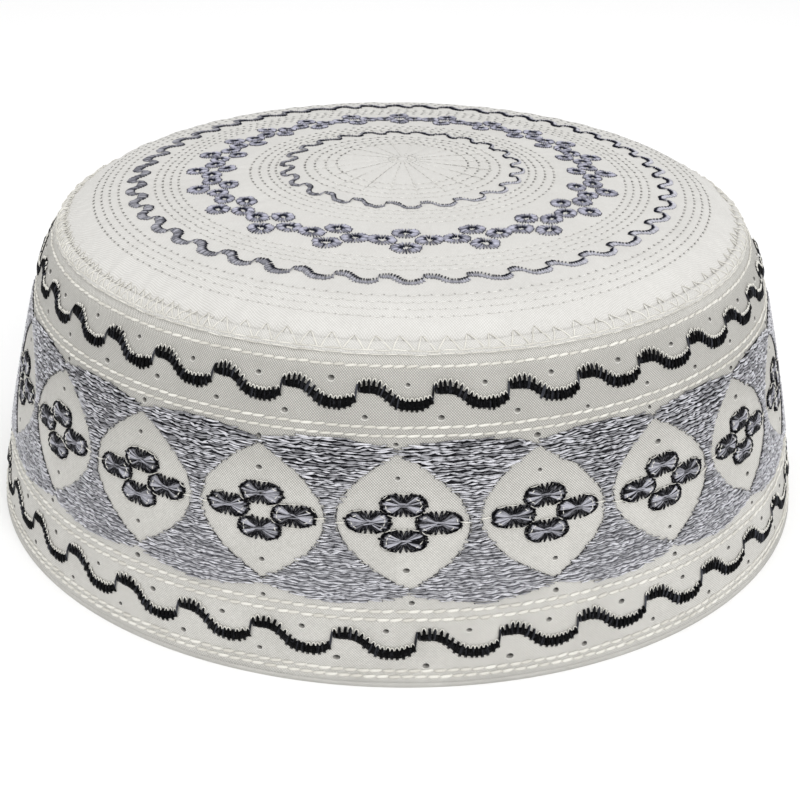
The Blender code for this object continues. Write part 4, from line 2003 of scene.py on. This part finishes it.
@dataclass
class SeamStitches:
    """The zigzag over the seam strip, sewn twice at the left, and the two stitched lines at its foot."""

    shape: CapShape
    repeats: int = 110
    low: float = 0.0638
    high: float = 0.0678
    left_from: float = 0.5
    second_shift: float = 0.40
    foot_lines: tuple[tuple[float, float, float], ...] = ((0.0643, 0.0030, 0.0), (0.0637, 0.0026, 0.4))
    seed: int = 61

    def build(self) -> bpy.types.Object:
        """Builds and rides the stitches.

        Returns:
            The stitches.
        """
        draw = np.random.default_rng(self.seed)
        pitch = tau / self.repeats
        base = np.arange(self.repeats) * pitch
        top = base + draw.normal(0.0, 0.05, self.repeats) * pitch
        bottom = base + (0.66 + draw.normal(0.0, 0.05, self.repeats)) * pitch
        high = self.high + draw.normal(0.0, 0.00022, self.repeats)
        low = self.low + draw.normal(0.0, 0.00016, self.repeats)
        following = np.append(top[1:], top[0] + tau)
        shade = draw.uniform(0.6, 1.0, self.repeats)
        strands = [self._over((top, high), (bottom, low), shade),
                   self._over((bottom, low), (following, np.roll(high, -1)), shade)]
        again = -np.sin(base) > self.left_from
        shift = self.second_shift * pitch
        top, bottom, following = (part[again] + shift for part in (top, bottom, following))
        high, low, shade = high[again] - 0.0004, low[again] + 0.0003, shade[again]
        strands.append(self._over((top, high), (bottom, low), shade))
        strands.append(self._over((bottom, low), (following, high), shade))
        for place, stitch, phase in self.foot_lines:
            count = int(tau * self.shape.skin.radius_at(place) / stitch)
            middle = tau * (np.arange(count) + phase) / count
            half = 0.48 * tau / count
            wander = draw.normal(0.0, 0.00008, (2, count))
            start, end = (middle - half, place + wander[0]), (middle + half, place + wander[1])
            strands.append(self._over(start, end, draw.uniform(0.4, 1.0, count)))
        patch = spun(self.shape, Strands.joined(strands), 4)
        return settle(object_of("seam_stitches", [patch], [Finish.PALE_THREAD]), Slot.CLOTH)

    def _over(self, start: tuple[Array, Array], end: tuple[Array, Array], shade: Array) -> Strands:
        """Stitches that lie on the strip where they cross it.

        Args:
            start: Angles and places of the first ends.
            end: Angles and places of the second ends.
            shade: Each stitch's own shade.

        Returns:
            The stitches.
        """
        bow = Bow(width=0.00016, height=0.00012, foot=0.0, rise=0.00009, points=6)
        made = bowed(start, end, bow, shade)
        made.proud = made.proud + SeamStrip.cover(made.place)
        return made


@dataclass
class CentreRays:
    """Radial running stitches that meet in the middle of the crown."""

    shape: CapShape
    inner: float = 0.0015
    outer: float = 0.0205
    pitch: float = 0.0019
    share: float = 0.68
    seed: int = 71

    def build(self) -> bpy.types.Object:
        """Builds and rides the rays.

        Returns:
            The rays.
        """
        draw = np.random.default_rng(self.seed)
        steps = np.arange(self.inner, self.outer, self.pitch)
        turns = RAY_TURN + tau * np.arange(RAYS) / RAYS
        angle, reach = (grid.ravel() for grid in np.meshgrid(turns, steps, indexing="ij"))
        place = self.shape.skin.middle - reach
        start = (angle + draw.normal(0.0, 0.003, len(angle)), place)
        end = (angle, place - self.pitch * self.share)
        bow = Bow(width=0.00013, height=0.00011, foot=0.00002, rise=0.00016, points=4)
        stitches = spun(self.shape, bowed(start, end, bow, draw.uniform(0.4, 1.0, len(angle))))
        # Needle holes painted dark as shade, darker on their upper side.
        holes = discs(self.shape, angle, place + self.pitch * 0.16, 0.00015, 1.0, 0.00004, 5)
        piece = object_of("centre_rays", [stitches, holes], [Finish.QUILT_THREAD, Finish.NEEDLE_HOLE])
        return settle(piece, Slot.CLOTH)


# eyelets


@dataclass(frozen=True)
class EyeletRow:
    """A ring of punched eyelets: place, how many, and the first one's angle."""

    place: float
    count: int
    turn: float


@dataclass
class Eyelets:
    """Small punched eyelets of uneven size, each a hollow painted dark as shade over a pale crescent."""

    shape: CapShape
    rows: tuple[EyeletRow, ...]
    radius: float = 0.00050
    lip: float = 0.00013
    around: int = 12
    section: int = 4
    band_radius: float = 0.085
    seed: int = 81

    def build(self) -> bpy.types.Object:
        """Builds and rides the eyelets.

        Returns:
            The eyelets.
        """
        draw = np.random.default_rng(self.seed)
        angle = np.concatenate([row.turn + tau * np.arange(row.count) / row.count
                                for row in self.rows])
        place = np.concatenate([np.full(row.count, row.place) for row in self.rows])
        angle = angle + draw.normal(0.0, 0.0004, len(angle)) / self.band_radius
        place = place + draw.normal(0.0, 0.00028, len(place))
        radius = self.radius * draw.uniform(0.80, 1.15, len(angle))
        broad = draw.uniform(1.05, 1.45, len(angle))
        # The hollows carry painted shade, darkest on their upper side.
        holes = discs(self.shape, angle, place, radius, broad, 0.00005, 10)
        lips = self._lips(angle, place, radius, broad)
        finishes = [Finish.STRIP_CLOTH, Finish.EYELET_HOLE]
        return settle(object_of("eyelets", [lips, holes], finishes), Slot.CLOTH)

    def _lips(self, angle: Array, place: Array, radius: Array, broad: Array) -> Patch:
        """The raised lips, closed rings that are thickest below.

        Args:
            angle: Angles of the eyelets' middles.
            place: Places of their middles.
            radius: Half their heights.
            broad: How much broader they are than tall.

        Returns:
            The lips.
        """
        turn = (tau * np.arange(self.around) / self.around)[None, :, None]
        tube = (tau * np.arange(self.section) / self.section)[None, None, :]
        middle, level, half, wide = (part[:, None, None] for part in (angle, place, radius, broad))
        lip = self.lip * (0.2 + 0.8 * np.maximum(0.0, -np.sin(turn + 0.2)))
        reach = half + lip * (0.4 + np.cos(tube))
        spot_angle = middle + wide * reach * np.cos(turn) / self.shape.skin.at(place)[0][:, None, None]
        spot_place = level + reach * np.sin(turn)
        points = self.shape.points(spot_angle, spot_place, 0.00001 + 0.8 * lip * np.sin(tube))
        number = np.arange(points.size // 3).reshape(points.shape[:3])
        beyond, over = np.roll(number, -1, axis=1), np.roll(number, -1, axis=2)
        faces = np.stack([number, beyond, np.roll(beyond, -1, axis=2), over], -1).reshape(-1, 4)
        flat = np.full(number.size, 0.5)
        return Patch(points.reshape(-1, 3), [faces], [np.zeros((len(faces), 4, 2))], flat, flat)


# studio


@dataclass
class Studio:
    """The plain floor, soft light and the camera at the photograph's angle."""

    distance: float = 0.3496
    elevation: float = 0.3846
    aim_height: float = 0.0460
    pitch: float = -0.4661
    yaw: float = 0.0007
    roll: float = 0.0148
    focal_share: float = 1.9109
    sensor_mm: float = 36.0
    floor_reach: float = 9.0
    world_light: float = 0.64

    def build(self) -> None:
        """Builds everything round the cap."""
        self._floor()
        self._world()
        self._lights()
        self._camera()

    def _floor(self) -> None:
        """A wide pale floor."""
        mesh = bpy.data.meshes.new("studio_floor")
        reach = self.floor_reach
        corners = [(reach * x, reach * y, 0.0) for x, y in ((-1, -1), (1, -1), (1, 1), (-1, 1))]
        mesh.from_pydata(corners, [], [(0, 1, 2, 3)])
        floor = stood("studio_floor", mesh)
        floor.location.z = -0.00002
        paint = FloorFinish("studio_floor_paint", (0.97, 0.97, 0.97), (0.975, 0.975, 0.975))
        mesh.materials.append(paint.material())

    def _world(self) -> None:
        """Even pale light from all round."""
        world = bpy.data.worlds.new("studio_world")
        world.use_nodes = True
        background = world.node_tree.nodes["Background"]
        background.inputs["Color"].default_value = (1.0, 1.0, 1.0, 1.0)
        background.inputs["Strength"].default_value = self.world_light
        bpy.context.scene.world = world

    def _lights(self) -> None:
        """Large soft boxes."""
        for name, place, size, power in (
            ("overhead_box", (0.0, 0.10, 1.25), 1.1, 6.0),
            ("key_box", (0.45, -1.0, 0.80), 0.7, 5.8),
            ("left_box", (-0.95, -0.50, 0.28), 0.6, 2.5),
            ("right_box", (0.95, -0.60, 0.22), 0.5, 2.0),
        ):
            data = bpy.data.lights.new(name, "AREA")
            data.shape = "SQUARE"
            data.size = size
            data.energy = power
            light = stood(name, data)
            light.location = place
            aim = Vector((0.0, 0.0, 0.04)) - Vector(place)
            light.rotation_mode = "QUATERNION"
            light.rotation_quaternion = aim.to_track_quat("-Z", "Y")

    def _camera(self) -> None:
        """The camera, turned and rolled as the photograph was taken."""
        data = bpy.data.cameras.new("photo_camera")
        data.sensor_width = self.sensor_mm
        data.lens = self.sensor_mm * self.focal_share
        data.clip_start, data.clip_end = 0.01, 20.0
        camera = stood("photo_camera", data)
        level = cos(self.pitch)
        forward = Vector((sin(self.yaw) * level, cos(self.yaw) * level, sin(self.pitch)))
        right = Vector((cos(self.yaw), -sin(self.yaw), 0.0))
        above = right.cross(forward)
        across = right * cos(self.roll) + above * sin(self.roll)
        upward = above * cos(self.roll) - right * sin(self.roll)
        place = Vector((0.0, -self.distance * cos(self.elevation),
                        self.aim_height + self.distance * sin(self.elevation)))
        turned = Matrix((across, upward, -forward)).transposed().to_4x4()
        camera.matrix_world = Matrix.Translation(place) @ turned
        bpy.context.scene.camera = camera
        bpy.context.scene.view_settings.view_transform = "Standard"


# the whole cap


def build_cap(shape: CapShape) -> list[Callable[[], object]]:
    """Lists the builders of the cap's pieces in order.

    Args:
        shape: The cap's skin and relief.

    Returns:
        The builders, each to be called once.
    """
    medallions = Medallions()
    scallop = tau / BAND_REPEATS
    plump = Bow(width=0.00031, height=0.00022, foot=-0.00006, rise=0.00022, taper=0.5, points=5)
    fine = Bow(width=0.00019, height=0.00013, foot=-0.00005, rise=0.00015, points=4)
    band_ring = partial(SatinScallop, shape, repeats=BAND_REPEATS, length=0.0025, fingers=16,
                        finish=Finish.BLACK_THREAD, slot=Slot.BLACK, loops=True)
    crown_ring = partial(SatinScallop, shape, finish=Finish.SLATE_THREAD, slot=Slot.SLATE, stretch=0.12,
                         core_more=0.0, sink_more=0.0, gleam=0.0, sides=3)
    return [
        HemCloth(shape).build,
        BandCloth(shape).build,
        SeamStrip(shape).build,
        CrownCloth(shape).build,
        band_ring(name="upper_scallop_satin", solid="upper_scallop", place=0.0562, turn=UPPER_TURN,
                  swing=0.0017, seed=1).build,
        band_ring(name="lower_scallop_satin", solid="lower_scallop", place=0.0088, turn=LOWER_TURN,
                  swing=0.0020, seed=2).build,
        crown_ring(name="crown_outer_satin", solid="crown_outer_scallop", place=0.0832, repeats=48,
                   turn=0.075, swing=0.0013, length=0.0022, fingers=17, rise=0.00014, core=0.23,
                   sink=0.12, core_shade=0.6, palest=1.0, sided=0.28, seed=3).build,
        crown_ring(name="crown_inner_satin", solid="crown_inner_scallop", place=0.1161, repeats=24,
                   turn=0.160, swing=0.0012, length=0.0012, fingers=16, rise=0.00012, core=0.26,
                   sink=0.10, core_shade=0.5, palest=0.9, sided=0.25, seed=4).build,
        FilledField(shape, medallions).build,
        MedallionOutline(shape, medallions).build,
        FlowerRing(
            shape, "medallion_flowers", place=0.0327, flowers=medallions.count, turn=medallions.turn,
            petals=BAND_PETALS, stitches=32, finish=Finish.FLOWER_THREAD, slot=Slot.BLACK, inner=0.06,
            outlined=True, seed=41).build,
        FlowerRing(
            shape, "crown_flowers", place=0.0996, flowers=22, turn=0.022, petals=CROWN_PETALS, stitches=26,
            finish=Finish.PETAL_THREAD, slot=Slot.SLATE, stretch=0.157, second_stretch=0.043,
            thread=0.00019, rise=0.00018, inner=0.24, wedge=-0.1, darkest=0.3, roundness=1.0,
            seed=42).build,
        RunningStitches(
            shape, "band_running_stitches", BAND_LINES, share=0.97, bow=plump, hole=0.0, seed=51).build,
        RunningStitches(
            shape, "crown_running_stitches", CROWN_LINES, share=0.66, bow=fine, hole=0.00033, seed=52,
            finish=Finish.QUILT_THREAD).build,
        SeamStitches(shape).build,
        CentreRays(shape).build,
        Eyelets(shape, (
            EyeletRow(0.0049, BAND_REPEATS, LOWER_TURN + 0.10 * scallop),
            EyeletRow(0.0114, BAND_REPEATS, LOWER_TURN + 0.61 * scallop),
            EyeletRow(0.0525, BAND_REPEATS, UPPER_TURN + 0.09 * scallop),
            EyeletRow(0.0587, BAND_REPEATS, UPPER_TURN + 0.65 * scallop),
            EyeletRow(0.0169, medallions.count, medallions.turn + 0.016),
            EyeletRow(0.0235, medallions.count, medallions.turn + 0.010),
            EyeletRow(0.0412, medallions.count, medallions.turn - 0.009),
            EyeletRow(0.0476, medallions.count, medallions.turn - 0.015),
        )).build,
    ]


def main() -> None:
    """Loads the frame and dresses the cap."""
    logging.basicConfig(level=logging.INFO, format="%(name)s: %(message)s")
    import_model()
    for build in build_cap(CapShape()):
        build()
    Studio().build()


if __name__ == "__main__":
    main()
